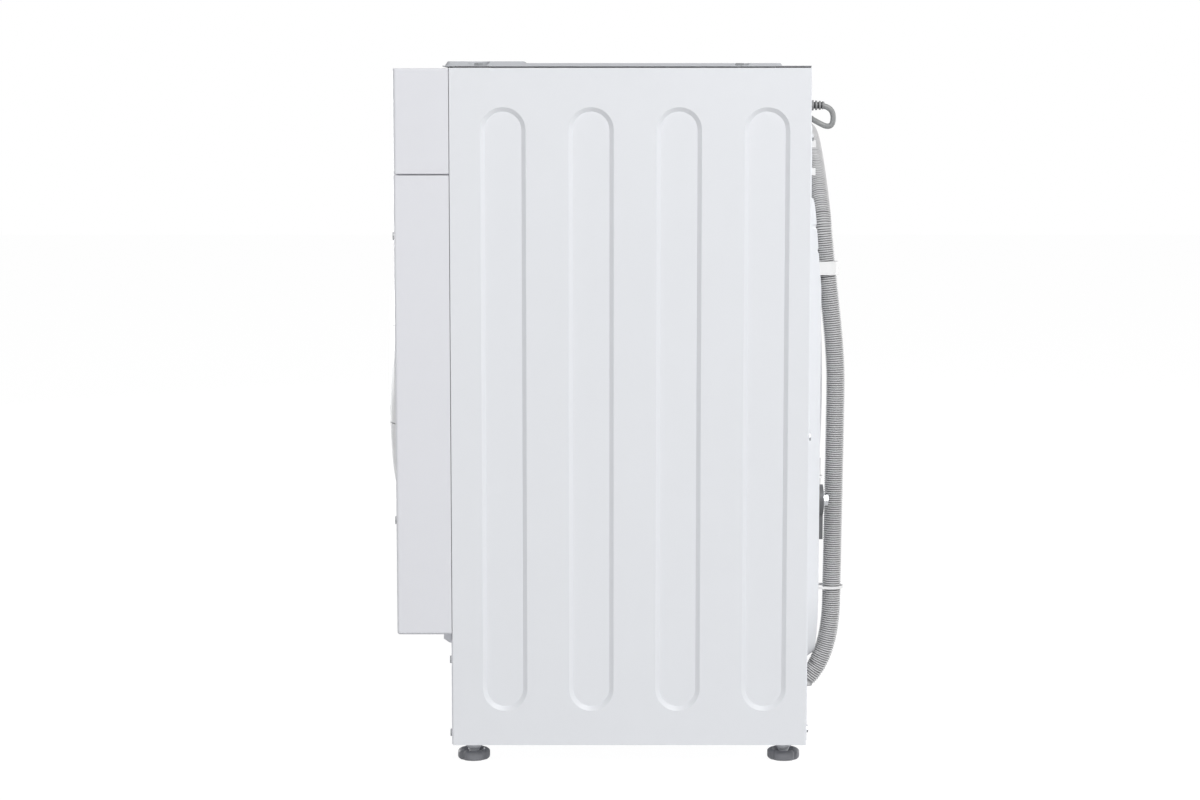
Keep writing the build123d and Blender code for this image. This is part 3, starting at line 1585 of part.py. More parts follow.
def drain_hose():
    """Corrugated drain hose: smooth to the rear panel, ribbed outside, smooth cuff at its end."""
    route = hose_route()
    start_y = hose_points()[0][1]
    bend_start = hose_points()[1][1] - hose_bend
    ribs_turn = math.asin((cabinet_back + 3 - bend_start) / hose_bend)
    ribs_from = bend_start - start_y + hose_bend * ribs_turn
    ribs_to = route.length - hose_cuff
    pitch = (ribs_to - ribs_from) / hose_rib_count
    sections = []
    for index in range(hose_rib_count):
        start = ribs_from + index * pitch
        sections.append(hose_circle(route, start, hose_root))
        sections.append(hose_circle(route, start + 0.22 * pitch, hose_radius))
        sections.append(hose_circle(route, start + 0.62 * pitch, hose_radius))
        sections.append(hose_circle(route, start + 0.84 * pitch, hose_root))
    sections.append(hose_circle(route, ribs_to, hose_root))
    ribbed = loft(sections, ruled=True)
    solid = ribbed + smooth_hose(route, ribs_from) + hose_end()
    bore = sweep(Plane(route @ 0, z_dir=route % 0) * Circle(hose_bore), path=route)
    x, y, z = hose_points()[-1]
    return solid - bore - bar_z(x, y, hose_cuff_bore, z - 1, z + hose_cuff)


def hose_circle(route, distance, radius):
    """One circle across the hose, kept from twisting along its route."""
    at = route.position_at(distance, position_mode=PositionMode.LENGTH)
    along = route.tangent_at(distance, position_mode=PositionMode.LENGTH)
    across = Vector(0, 1, 0).cross(along)
    return Plane(at, x_dir=across, z_dir=along) * Circle(radius)


def smooth_hose(route, ribs_from):
    """The smooth inner length, straight over the base pan and into the first bend."""
    start = route @ 0
    bend = Vector(hose_side, hose_points()[1][1] - hose_bend, hose_floor)
    join = route.position_at(ribs_from + 1, position_mode=PositionMode.LENGTH)
    path = Wire([Edge.make_line(start, bend), Edge.make_tangent_arc(bend, Vector(0, 1, 0), join)])
    return sweep(Plane(start, z_dir=(0, 1, 0)) * Circle(hose_radius), path=path)


def hose_end():
    """Smooth cuff at the free end."""
    x, y, z = hose_points()[-1]
    return bar_z(x, y, hose_radius + 1.5, z, z + hose_cuff + 1)


def corner_radii(points):
    """Bend radius of each corner: its arc takes under half of the shorter run beside it."""
    radii = []
    for before, corner, after in zip(points, points[1:], points[2:]):
        first = Vector(*corner) - Vector(*before)
        second = Vector(*after) - Vector(*corner)
        half_turn = math.radians(first.get_angle(second)) / 2
        radii.append(0.45 * min(first.length, second.length) / math.tan(half_turn))
    return radii


def cord_points():
    """Corners of the mains lead from inside the gland to the coil."""
    run_y = cabinet_back + sheet + cord_radius + 0.35
    return [
        (cord_side, cabinet_back - 12, cord_exit_z),
        (cord_side, cabinet_back + 33.3, cord_exit_z),
        (cord_side - 0.5, cabinet_back + 33.3, cord_exit_z - 29),
        (cord_side - 5, run_y + 2.9, cord_run_z - 5.5),
        (cord_side - 20, run_y, cord_run_z),
        (cord_side - 44, run_y, cord_run_z + 0.6),
        (cord_side - 122, run_y, cord_run_z - 0.6),
        (cord_side - 212, run_y, cord_run_z + 0.6),
        (cord_side - 300, run_y, cord_run_z - 0.6),
        (cord_side - 366, run_y, cord_run_z),
        (coil_x + 2 * cord_radius, run_y, cord_run_z),
    ]


def coil_stations():
    """Points and headings at each half turn of the put-away coil, and at its end."""
    run_y = cord_points()[-1][1]
    centre_z = cord_run_z - coil_radius
    radii = [coil_radius - coil_pitch_in / 2 * index for index in range(6)]
    radii += [radii[-1] + coil_pitch_out / 2 * index for index in range(1, 4)]
    stations = []
    for index, radius in enumerate(radii):
        way = 1 if index % 2 == 0 else -1
        y = run_y if index < 5 else run_y + coil_lift
        stations.append((Vector(coil_x, y, centre_z + way * radius), Vector(-way, 0, 0)))
    last = radii[-1] + coil_pitch_out / 4
    stations.append((Vector(coil_x - last, run_y + coil_lift, centre_z), Vector(0, 0, -1)))
    return stations


def biarc(first, second):
    """Two tangent arcs from one point and heading to the next."""
    p0, t0 = first
    p1, t1 = second
    span = p1 - p0
    both = t0 + t1
    facing_each_other = 2 * (1 - t0.dot(t1))
    along = span.dot(both)
    if facing_each_other < 1e-9:
        reach = span.dot(span) / (4 * span.dot(t1))
    else:
        reach = (-along + math.sqrt(along**2 + facing_each_other * span.dot(span))) / facing_each_other
    joint = (p0 + t0 * reach + p1 - t1 * reach) * 0.5
    start = Edge.make_tangent_arc(p0, t0, joint)
    return [start, Edge.make_tangent_arc(joint, start % 1, p1)]


def power_cord():
    """Mains lead: one loop at the gland, across to its coil, in and out in two layers, down to the plug."""
    points = cord_points()
    radii = corner_radii(points)
    print("cord bend radii", [round(radius, 1) for radius in radii])
    lead = FilletPolyline(*points, radius=radii)
    stations = coil_stations()
    edges = [Edge.make_line(lead @ 1, stations[0][0])]
    for first, second in zip(stations, stations[1:]):
        edges += biarc(first, second)
    end, heading = stations[-1]
    lowered = end + heading * 14
    plug_top = Vector(*plug_place())
    edges.append(Edge.make_line(end, lowered))
    edges += biarc((lowered, heading), (plug_top + Vector(0, 0, 2 * cord_radius), heading))
    edges.append(Edge.make_line(plug_top + Vector(0, 0, 2 * cord_radius), plug_top))
    coil = Wire(edges)
    print("coil least gap", round(least_gap(coil, cord_radius), 2))
    path = Wire(lead.edges() + edges)
    print("cord length", round(path.length))
    return sweep(Plane(path @ 0, z_dir=path % 0) * Circle(cord_radius), path=path)


def least_gap(path, radius):
    """Least distance between the surfaces of a tube's turns, measured on points."""
    count = 400
    step = path.length / count
    points = [path.position_at(step * index, position_mode=PositionMode.LENGTH) for index in range(count + 1)]
    apart = int(4 * math.pi * radius / step)
    least = math.inf
    for index, point in enumerate(points):
        for other in points[index + apart:]:
            least = min(least, (point - other).length)
    return least - 2 * radius


def plug_place():
    """Top of the plug's strain relief."""
    end = coil_stations()[-1][0]
    return (end.X, cabinet_back + sheet + 18.6, end.Z - 60)


def power_plug():
    """Round two-pin mains plug with its strain relief."""
    x, y, top = plug_place()
    relief = Pos(x, y, top - 11) * Cone(9, 5, 22)
    body = bar_z(x, y, 18, top - 52, top - 20)
    body = chamfer(body.edges().filter_by(GeomType.CIRCLE), 3)
    plug = relief + body
    for side in (-1, 1):
        plug = plug + bar_z(x + side * 9.5, y, 2.4, top - 71, top - 50)
    return plug - bar_z(x, y, cord_radius, top - 14, top + 1) + bar_z(x, y, cord_radius, top - 15, top)


def cord_gland():
    """Strain relief of the mains lead in the rear channel's web."""
    tip = cabinet_back + cord_exit_reach
    base = block(cord_side - 5.8, cord_side + 5.8, cabinet_back - 4, cabinet_back + 0.5,
                 cord_exit_z - 4.8, cord_exit_z + 4.8)
    flange = block(cord_side - 9, cord_side + 9, cabinet_back + 0.2, cabinet_back + 4,
                   cord_exit_z - 5.2, cord_exit_z + 7)
    gland = base + flange + bar_y(cord_side, cord_exit_z, 5, cabinet_back + 3, tip)
    for start in (7.0, 11.5, 16.0):
        gland = gland + bar_y(cord_side, cord_exit_z, 6.2, cabinet_back + start, cabinet_back + start + 2.5)
    return gland - bar_y(cord_side, cord_exit_z, cord_radius + running_gap, cabinet_back - 5, tip + 1)


def transport_spacers():
    """Keyhole-shaped spacer of each transport bolt, with its sleeve towards the tub."""
    pieces = []
    for x, z in transport_places():
        way = 1 if z > drum_height else -1
        disc = bar_y(x, z, 18.5, field_back, field_back + 6)
        tail = block(x - 7, x + 7, field_back, field_back + 6, *sorted((z, z + way * 47)))
        sleeve = bar_y(x, z, 5.6, tub_back + 25, field_back + 1)
        spacer = disc + tail + sleeve
        pieces.append(spacer - bar_y(x, z, 4.3, tub_back + 20, field_back + 7))
    return pieces


def transport_bolts():
    """Transport bolts with washer and hexagon head, screwed into the tub."""
    pieces = []
    for x, z in transport_places():
        y = field_back + 6
        bolt = bar_y(x, z, 10.5, y, y + 1.5) + hex_y(x, z, 12, y + 1.5, y + 6.5)
        pieces.append(bolt + bar_y(x, z, 4, tub_back + 8, y + 1))
    return pieces


def rear_clips():
    """Hose straps and ties, cord clips and the two edge clips on each side."""
    pieces = []
    for side in (-1, 1):
        pieces.append(hose_strap(side, 575.6, 16.0, hose_radius, 3.0))
    pieces.append(hose_strap(1, 186.0, 3.0, hose_radius, 1.6))
    pieces.append(hose_strap(-1, 278.0, 3.0, hose_radius + 1.5, 1.6))
    for z in (694.0, 726.0):
        x = half_width - 30.5
        pieces.append(block(x - 5, x + 5, cabinet_back + sheet, cabinet_back + 7, z - 4, z + 4))
    for x in (110.0, 0.0, -110.0):
        pieces.append(cord_clip(x))
    return pieces


def hose_strap(side, z, height, held_radius, wall):
    """A band round the hose, standing on the rear panel."""
    y = hose_y_at(z, side)
    inner = held_radius + 0.8
    outer = inner + wall
    x = side * hose_side
    strap = bar_z(x, y, outer, z - height / 2, z + height / 2)
    strap = strap + block(x - outer, x + outer, field_back - 4, y, z - height / 2, z + height / 2)
    opening = block(x - inner, x + inner, cabinet_back, y, z - height, z + height)
    return strap - opening - bar_z(x, y, inner, z - height, z + height) - raised_field()


def hose_y_at(z, side):
    """Depth of the hose's middle line at a height beside the rear panel."""
    points = [point for point in hose_points()[1:] if point[0] * side > 0]
    points = sorted(points, key=lambda point: point[2])
    for low, high in zip(points, points[1:]):
        if low[2] <= z <= high[2]:
            share = (z - low[2]) / (high[2] - low[2])
            return low[1] + share * (high[1] - low[1])
    return points[0][1]


def cord_clip(x):
    """Small arch that holds the cord against the rear channel."""
    y = cord_points()[-1][1]
    z = cord_run_z
    room = cord_radius + 1.2
    clip = block(x - 4, x + 4, cabinet_back, y + room + 1.2, z - room - 3, z + room + 3)
    clip = clip - block(x - 5, x + 5, cabinet_back - 1, y, z - room, z + room)
    return clip - bar_x(y, z, room, x - 5, x + 5)


def cabinet_screws():
    """Screws of the cover, plinth and rear panel, and the hinge screws on the right."""
    pieces = []
    for x, y in cover_screw_places():
        z = cover_underside + sheet
        head = Pos(x, y, z) * extrude(RegularPolygon(5.5, 6), 3)
        pieces.append(head + Pos(x, y, z - 2) * extrude(RegularPolygon(1.9, 6), 3))
    for x, z in plinth_screws():
        y = cabinet_front - sheet
        pieces.append(hex_y(x, z, 8, y - 2.4, y) + hex_y(x, z, 3.4, y - 1, y + sheet))
    for x, z in rear_screw_places():
        y = cabinet_back + sheet
        pieces.append(hex_y(x, z, 8, y, y + 2.4) + hex_y(x, z, 3.4, y - sheet, y + 1))
    for x, z in furniture_holes():
        if x > 0:
            head = hex_y(x, z, 9, front_face - 2.5, front_face)
            pieces.append(head + hex_y(x, z, 3.4, front_face - 1, front_face + 8))
    return pieces


# Every sub-part

os.makedirs("parts", exist_ok=True)

right_panel = side_panel()
save("side_panel_right", right_panel)
save("side_panel_left", mirrored_x(right_panel))
save("base_pan", base_pan())
save("rear_panel", rear_panel())
save("top_cover", top_cover())
save("crossbars", *crossbars())
save("front_panel", front_panel())
save("plinth_panel", plinth_panel())
save("control_panel", control_panel())
save("display_module", display_module())
save("dispenser_housing", dispenser_housing())
save("water_hoses", *water_hoses())
save("inlet_valve", inlet_valve())
save("pressure_switch", pressure_switch())
save("tub_front", tub_front())
save("tub_rear", tub_rear())
save("tub_clips", *tub_clips())
save("tub_bolts", *tub_bolts())
save("door_gasket", door_gasket())
save("counterweights", *counterweights())
save("suspension_springs", *suspension_springs())
save("dampers", *dampers())
save("shaft_bearings", *shaft_bearings())
save("drive_belt", drive_belt())
save("motor", motor())
save("motor_pulley", motor_pulley())
save("heating_element", heating_element())
save("drain_pump", drain_pump())
save("filter_cap", filter_cap())
save("filter_flap", filter_flap())
save("drum", drum())
save("drum_lifters", *drum_lifters())
save("drum_spider", drum_spider())
save("drum_pulley", *drum_pulley())
save("door_ring", door_ring())
save("door_inner_ring", door_inner_ring())
save("door_glass", door_glass())
save("door_hinge_base", door_hinge_base())
save("door_hinge_arm", door_hinge_arm())
save("door_handle", door_handle())
save("latch_hook", latch_hook())
save("door_lock", door_lock())
save("drawer_tray", drawer_tray())
save("drawer_front", drawer_front())
save("programme_knob", programme_knob())
save("power_button", push_button(button_places()[0]))
save("start_button", push_button(button_places()[1]))
save("drain_hose", drain_hose())
save("power_cord", power_cord())
save("power_plug", power_plug())
save("cord_gland", cord_gland())
save("transport_spacers", *transport_spacers())
save("transport_bolts", *transport_bolts())
save("rear_clips", *rear_clips())
save("cabinet_screws", *cabinet_screws())
for name, place in zip(("front_left", "front_right", "rear_left", "rear_right"), foot_places()):
    save(f"foot_{name}", foot(*place))
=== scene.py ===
import math

import bpy
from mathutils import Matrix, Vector


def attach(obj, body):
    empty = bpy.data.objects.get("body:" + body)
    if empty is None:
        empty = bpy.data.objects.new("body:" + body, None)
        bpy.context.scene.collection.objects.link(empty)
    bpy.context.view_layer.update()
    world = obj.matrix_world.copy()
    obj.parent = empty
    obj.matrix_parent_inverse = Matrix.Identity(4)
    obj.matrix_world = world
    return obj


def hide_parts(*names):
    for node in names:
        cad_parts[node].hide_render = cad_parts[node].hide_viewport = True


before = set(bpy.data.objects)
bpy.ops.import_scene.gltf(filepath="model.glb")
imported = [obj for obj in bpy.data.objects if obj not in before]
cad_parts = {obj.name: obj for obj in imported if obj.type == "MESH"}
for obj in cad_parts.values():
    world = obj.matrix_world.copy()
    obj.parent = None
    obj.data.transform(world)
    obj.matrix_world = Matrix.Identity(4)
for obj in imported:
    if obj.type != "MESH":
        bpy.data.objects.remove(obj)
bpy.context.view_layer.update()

# Planes and centres of the machine, in metres, as in the part's source
front_face = -0.256
cabinet_back = 0.222
half_width = 0.2975
drum_height = 0.428
drum_radius = 0.240
drum_span = (-0.140, 0.148)
plug_face_z = 0.6044
# How far in from each side the crossbars' ends are painted black: painted shade for the gap under the
# cover
gap_shade_depth = 0.0025

# Holes of the drum sheet, and the plain sheet at each of its ends
hole_pitch = 0.012
hole_radius = 0.0017
plain_end = 0.014
shell_depth = 0.0025

# Feet
foot_names = ("front_left", "front_right", "rear_left", "rear_right")
foot_places = ((-0.262, -0.169), (0.262, -0.169), (-0.262, 0.198), (0.262, 0.198))
foot_core_radius = 0.0078
foot_rim_radius = 0.0150
notch_depth = 0.0022
notch_angle = math.radians(11)
thread_from = 0.0121
thread_top = 0.0640
thread_pitch = 0.0015
thread_root = 0.0045
thread_crest = 0.0050

# Strain relief
relief_core = 0.0039
relief_ribs = 3
relief_start = 0.0057
relief_pitch = 0.0042
relief_slot = 0.0020
relief_edge = 0.0001
relief_radius = 0.0061
relief_taper = 0.0004
# Inside this radius the sleeve is painted dark: painted shade in its slots
relief_slot_shade_radius = 0.0041
relief_corner = 0.0015

# Strokes round the programme knob
knob_x = -0.062
knob_z = 0.765
stroke_count = 12
strokes_per_quarter = 3
stroke_ring = 0.0290
long_stroke = 0.0045
short_stroke = 0.0028
stroke_half_width = 0.00045
stroke_root = 0.0001
stroke_height = 0.00012

# Mains lead
cord_radius = 0.00325
gland_mouth = (0.200, 0.236, 0.770)
cord_loop_y = 0.2553
cord_run_y = 0.2266
cord_run_z = 0.7595
cord_sway = 0.0006
coil_x = -0.225
coil_top_radius = 0.043
coil_half_turns = 8.5
coil_halves_in = 5
coil_step_in = 0.0036
coil_step_out = 0.006
coil_lift = 0.0073
coil_points_per_turn = 12
plug_drop = 0.060
plug_out = 0.0196
plug_straight = 0.012
plug_hold = 0.006

# Drain hose
hose_side = 0.150
pump_outlet = (0.150, -0.046, 0.043)
hose_radius = 0.0115
hose_groove_radius = 0.0099
hose_shoulder_radius = 0.0112
hose_rib_pitch = 0.0027
hose_smooth_length = 0.290
cuff_length = 0.050
cuff_radius = 0.0130
cuff_lip_radius = 0.0123
cuff_bore_radius = 0.0095
cuff_bore_depth = 0.030

# Spangles of the zinc, and how sharply a point sticks out at the hose's grooves and ribs; the painted
# shade of the grooves fades out between the two
spangles_per_metre = 140.0
groove_sharpness = 0.47
rib_sharpness = 0.53

# Brightness of the surroundings at the horizon and overhead
surround_low = 0.46
surround_high = 0.10

# Floor: its tone, and how much of it glows white, for the camera and for all else
floor_reach = 12.0
floor_tone = 0.78
floor_glow = 1.12
glow_seen = 0.85
glow_unseen = 0.2

# The photograph's camera
lens_pixels = 2564.0
picture_width = 1200.0
camera_place = (3.2385, -0.0195, 0.7718)
camera_pitch = math.radians(6.59)


# Colours


def linear(red, green, blue):
    """A colour given in 0 to 255 as displayed, in the renderer's linear values."""

    def channel(value):
        value = value / 255
        return value / 12.92 if value <= 0.04045 else ((value + 0.055) / 1.055) ** 2.4

    return (channel(red), channel(green), channel(blue), 1.0)


paint_white = linear(229, 231, 235)
# The cover's white, darker than the sides' white: painted shade for its dimmer top
shaded_cover_white = linear(197, 199, 203)
panel_white = linear(227, 228, 233)
plastic_white = linear(228, 229, 231)
strap_white = linear(232, 232, 232)
galvanised_grey = linear(176, 179, 182)
galvanised_dark = linear(150, 153, 157)
silver_grey = linear(190, 191, 193)
fitting_grey = linear(142, 144, 147)
steel_grey = linear(168, 170, 173)
stainless_grey = linear(205, 206, 208)
hose_light = linear(195, 195, 196)
# Painted shade of the hose's grooves
hose_groove_shade = linear(106, 106, 107)
lead_grey = linear(148, 149, 149)
foot_grey = linear(128, 129, 134)
dark_grey = linear(52, 53, 55)
spacer_grey = linear(98, 99, 101)
gland_grey = linear(142, 142, 143)
zinc_bright = linear(222, 224, 227)
# Black of the rubber parts, also used as the painted shade on the crossbars' ends
nickel = linear(214, 210, 200)
black_rubber_and_gap_shade = linear(30, 30, 31)
gasket_grey = linear(126, 128, 130)
tub_grey = linear(206, 206, 200)
concrete_grey = linear(150, 148, 142)
window_black = linear(17, 18, 21)
glass_clear = (0.93, 0.96, 0.96, 1.0)


# Material building blocks


class Finish:
    """One procedural material, built up from its shader."""

    def __init__(self, name, color, roughness, metallic=0.0):
        self.material = bpy.data.materials.new(name)
        self.material.use_nodes = True
        self.tree = self.material.node_tree
        self.shader = self.tree.nodes["Principled BSDF"]
        self.shader.inputs["Base Color"].default_value = color
        self.shader.inputs["Roughness"].default_value = roughness
        self.shader.inputs["Metallic"].default_value = metallic
        self.color = color
        self.roughness = roughness
        self.height = None

    def node(self, kind, **values):
        made = self.tree.nodes.new(kind)
        for key, value in values.items():
            setattr(made, key, value)
        return made

    def link(self, source, target):
        self.tree.links.new(source, target)

    def place(self):
        """Where the point is, in metres."""
        return self.node("ShaderNodeTexCoord").outputs["Object"]

    def noise(self, size, detail=2.0, stretch=(1, 1, 1)):
        """Noise whose features are about size metres across."""
        scale = self.node("ShaderNodeVectorMath", operation="MULTIPLY")
        scale.inputs[1].default_value = [value / size for value in stretch]
        self.link(self.place(), scale.inputs[0])
        texture = self.node("ShaderNodeTexNoise")
        texture.inputs["Scale"].default_value = 1.0
        texture.inputs["Detail"].default_value = detail
        self.link(scale.outputs[0], texture.inputs["Vector"])
        return texture.outputs["Fac"]

    def spread(self, source, low, high):
        """The source's middle range mapped to low and high."""
        mapped = self.node("ShaderNodeMapRange")
        mapped.inputs["From Min"].default_value = 0.3
        mapped.inputs["From Max"].default_value = 0.7
        mapped.inputs["To Min"].default_value = low
        mapped.inputs["To Max"].default_value = high
        self.link(source, mapped.inputs["Value"])
        return mapped.outputs["Result"]

    def vary_roughness(self, size, amount, stretch=(1, 1, 1)):
        """Blotches duller and glossier than the base roughness by the amount."""
        low = max(0.02, self.roughness - amount)
        self.link(self.spread(self.noise(size, stretch=stretch), low, self.roughness + amount),
                  self.shader.inputs["Roughness"])

    def vary_color(self, size, amount, stretch=(1, 1, 1)):
        """Blotches darker than the base colour by a share."""
        mix = self.node("ShaderNodeMix", data_type="RGBA")
        mix.inputs["A"].default_value = self.color
        mix.inputs["B"].default_value = [channel * (1 - amount) for channel in self.color[:3]] + [1.0]
        self.link(self.spread(self.noise(size, 3.0, stretch), 0.0, 1.0), mix.inputs["Factor"])
        self.link(mix.outputs["Result"], self.shader.inputs["Base Color"])

    def grain(self, size, depth, stretch=(1, 1, 1)):
        """Raise the surface by noise, up to depth metres, on top of any grain before."""
        bump = self.node("ShaderNodeBump")
        bump.inputs["Strength"].default_value = 1.0
        bump.inputs["Distance"].default_value = depth
        self.link(self.noise(size, stretch=stretch), bump.inputs["Height"])
        if self.height is not None:
            self.link(self.height, bump.inputs["Normal"])
        self.height = bump.outputs["Normal"]
        self.link(self.height, self.shader.inputs["Normal"])

    def distance(self, centre, mask):
        """Distance to a point, taken only along the directions whose mask is 1."""
        offset = self.node("ShaderNodeVectorMath", operation="MULTIPLY_ADD")
        offset.inputs[1].default_value = mask
        offset.inputs[2].default_value = [-value * share for value, share in zip(centre, mask)]
        self.link(self.place(), offset.inputs[0])
        length = self.node("ShaderNodeVectorMath", operation="LENGTH")
        self.link(offset.outputs[0], length.inputs[0])
        return length.outputs["Value"]

    def math(self, operation, first, second=0.0):
        """One arithmetic step on sockets or numbers."""
        made = self.node("ShaderNodeMath", operation=operation)
        for socket, value in zip(made.inputs, (first, second)):
            if isinstance(value, (int, float)):
                socket.default_value = value
            else:
                self.link(value, socket)
        return made.outputs[0]

    def inset(self, mask, color, metallic):
        """Another colour and metal share where the mask is 1."""
        base = self.shader.inputs["Base Color"]
        mix = self.node("ShaderNodeMix", data_type="RGBA")
        mix.inputs["A"].default_value = self.color
        if base.links:
            self.link(base.links[0].from_socket, mix.inputs["A"])
        mix.inputs["B"].default_value = color
        self.link(mask, mix.inputs["Factor"])
        self.link(mix.outputs["Result"], base)
        share = self.node("ShaderNodeMapRange")
        share.inputs["To Min"].default_value = self.shader.inputs["Metallic"].default_value
        share.inputs["To Max"].default_value = metallic
        self.link(mask, share.inputs["Value"])
        self.link(share.outputs["Result"], self.shader.inputs["Metallic"])
        return self

    def set(self, **values):
        """Constants on the shader's own sockets."""
        for key, value in values.items():
            self.shader.inputs[key.replace("_", " ")].default_value = value


def painted_steel(name, color):
    """Powder coat: a fine orange peel, hardly visible tone changes, soft gloss."""
    finish = Finish(name, color, 0.42)
    finish.vary_color(0.22, 0.012)
    finish.vary_roughness(0.05, 0.04)
    finish.grain(0.0016, 0.000018)
    finish.grain(0.00045, 0.000006)
    finish.set(Coat_Weight=0.12, Coat_Roughness=0.25)
    return finish


def moulded(name, color, roughness, grain=0.0005, depth=0.00001, tone=0.02):
    """Moulded plastic with a fine eroded grain."""
    finish = Finish(name, color, roughness)
    finish.vary_color(0.03, tone)
    finish.vary_roughness(0.012, 0.04)
    finish.grain(grain, depth)
    return finish


def metal(name, color, roughness, grain=0.0006, depth=0.00001, stretch=(1, 1, 1), tone=0.08):
    """Bare metal with slight streaks."""
    finish = Finish(name, color, roughness, 1.0)
    finish.vary_color(0.006, tone, stretch)
    finish.vary_roughness(0.003, 0.06, stretch)
    finish.grain(grain, depth, stretch)
    return finish


def galvanised():
    """Zinc-coated sheet with faint spangles."""
    finish = Finish("galvanised", galvanised_grey, 0.42, 0.85)
    cells = finish.node("ShaderNodeTexVoronoi")
    cells.inputs["Scale"].default_value = spangles_per_metre
    finish.link(finish.place(), cells.inputs["Vector"])
    mix = finish.node("ShaderNodeMix", data_type="RGBA")
    mix.inputs["A"].default_value = galvanised_grey
    mix.inputs["B"].default_value = galvanised_dark
    finish.link(cells.outputs["Color"], mix.inputs["Factor"])
    finish.link(mix.outputs["Result"], finish.shader.inputs["Base Color"])
    finish.grain(0.0008, 0.000008)
    return finish


def rubber(name, color):
    """Soft rubber with a dusty, matte skin."""
    finish = Finish(name, color, 0.62)
    finish.vary_color(0.02, 0.10)
    finish.vary_roughness(0.01, 0.06)
    finish.grain(0.0007, 0.000015)
    return finish


def concrete():
    """Cast concrete with pores and blotches."""
    finish = Finish("concrete", concrete_grey, 0.85)
    finish.vary_color(0.025, 0.16)
    finish.grain(0.004, 0.0004)
    finish.grain(0.0009, 0.00015)
    return finish


def clear_glass():
    """Thick moulded glass."""
    finish = Finish("clear_glass", glass_clear, 0.02)
    finish.set(Transmission_Weight=1.0, IOR=1.5)
    finish.grain(0.03, 0.00004)
    return finish


def stainless_shell():
    """Drum sheet: staggered rows of small round holes round the cylinder, painted as dark spots of painted
    shade, plain elsewhere.
    """
    finish = metal("drum_sheet", stainless_grey, 0.24, grain=0.0011, depth=0.000006,
                   stretch=(0.15, 6, 6), tone=0.03)
    place = finish.node("ShaderNodeSeparateXYZ")
    finish.link(finish.place(), place.inputs[0])
    rise = finish.math("SUBTRACT", place.outputs["Z"], drum_height)
    turn = finish.math("ARCTAN2", place.outputs["X"], rise)
    rows = 2 * math.pi * drum_radius / hole_pitch
    around = finish.math("MULTIPLY", turn, round(rows) / (2 * math.pi))
    row = finish.math("FLOOR", around)
    along = finish.math("DIVIDE", place.outputs["Y"], hole_pitch)
    along = finish.math("ADD", along, finish.math("MULTIPLY", row, 0.5))
    from_row = finish.math("SUBTRACT", finish.math("FRACT", around), 0.5)
    from_column = finish.math("SUBTRACT", finish.math("FRACT", along), 0.5)
    both = finish.math("ADD", finish.math("POWER", from_row, 2.0), finish.math("POWER", from_column, 2.0))
    # Painted shade: each hole is a dark spot on the sheet, not an opening
    painted_hole_shade = finish.math("LESS_THAN", both, (hole_radius / hole_pitch) ** 2)
    from_axis = finish.distance((0, 0, drum_height), (1, 0, 1))
    shell = finish.math("GREATER_THAN", from_axis, drum_radius - shell_depth)
    middle = (drum_span[0] + drum_span[1]) / 2
    half = (drum_span[1] - drum_span[0]) / 2 - plain_end
    inside = finish.math("LESS_THAN", finish.distance((0, middle, 0), (0, 1, 0)), half)
    mask = finish.math("MULTIPLY", finish.math("MULTIPLY", painted_hole_shade, shell), inside)
    return finish.inset(mask, dark_grey, 0.0)


def foot_plastic():
    """Dark pad round a light collar and stem, told apart by the distance to the nearest foot's axis."""
    finish = moulded("foot_plastic", foot_grey, 0.5, grain=0.0012, depth=0.00003, tone=0.12)
    nearest = 1.0
    for x, y in foot_places:
        nearest = finish.math("MINIMUM", finish.distance((x, y, 0), (1, 1, 0)), nearest)
    return finish.inset(finish.math("LESS_THAN", nearest, foot_core_radius), zinc_bright, 0.2)


def relief_plastic():
    """Mid grey sleeve, with painted shade down in its slots."""
    finish = moulded("relief_plastic", gland_grey, 0.48)
    x, _, z = gland_mouth
    # Painted shade: dark at the depth of the slots
    slot_shade = finish.math("LESS_THAN", finish.distance((x, 0, z), (1, 0, 1)), relief_slot_shade_radius)
    return finish.inset(slot_shade, dark_grey, 0.0)


def plug_plastic():
    """Grey plug with two nickel pins below its face."""
    finish = moulded("plug_plastic", lead_grey, 0.5)
    height = finish.node("ShaderNodeSeparateXYZ")
    finish.link(finish.place(), height.inputs[0])
    return finish.inset(finish.math("LESS_THAN", height.outputs["Z"], plug_face_z), nickel, 1.0)


def channel_steel():
    """Zinc-coated channels, their outer ends painted black as painted shade in the gap under the cover."""
    finish = galvanised()
    across = finish.distance((0, 0, 0), (1, 0, 0))
    # Painted shade: the channels' outer ends are black so the gap under the cover reads dark
    gap_shade = finish.math("GREATER_THAN", across, half_width - gap_shade_depth)
    return finish.inset(gap_shade, black_rubber_and_gap_shade, 0.0)


def hose_plastic():
    """Corrugated grey plastic, with painted shade down in its grooves."""
    finish = Finish("hose_plastic", hose_light, 0.45)
    # Painted shade: darker where the surface is hollow, in the grooves
    pointed = finish.node("ShaderNodeNewGeometry").outputs["Pointiness"]
    ramp = finish.node("ShaderNodeValToRGB")
    ramp.color_ramp.elements[0].position = groove_sharpness
    ramp.color_ramp.elements[0].color = hose_groove_shade
    ramp.color_ramp.elements[1].position = rib_sharpness
    ramp.color_ramp.elements[1].color = hose_light
    finish.link(pointed, ramp.inputs["Fac"])
    finish.link(ramp.outputs["Color"], finish.shader.inputs["Base Color"])
    finish.grain(0.0008, 0.00001)
    return finish


# Geometry building blocks


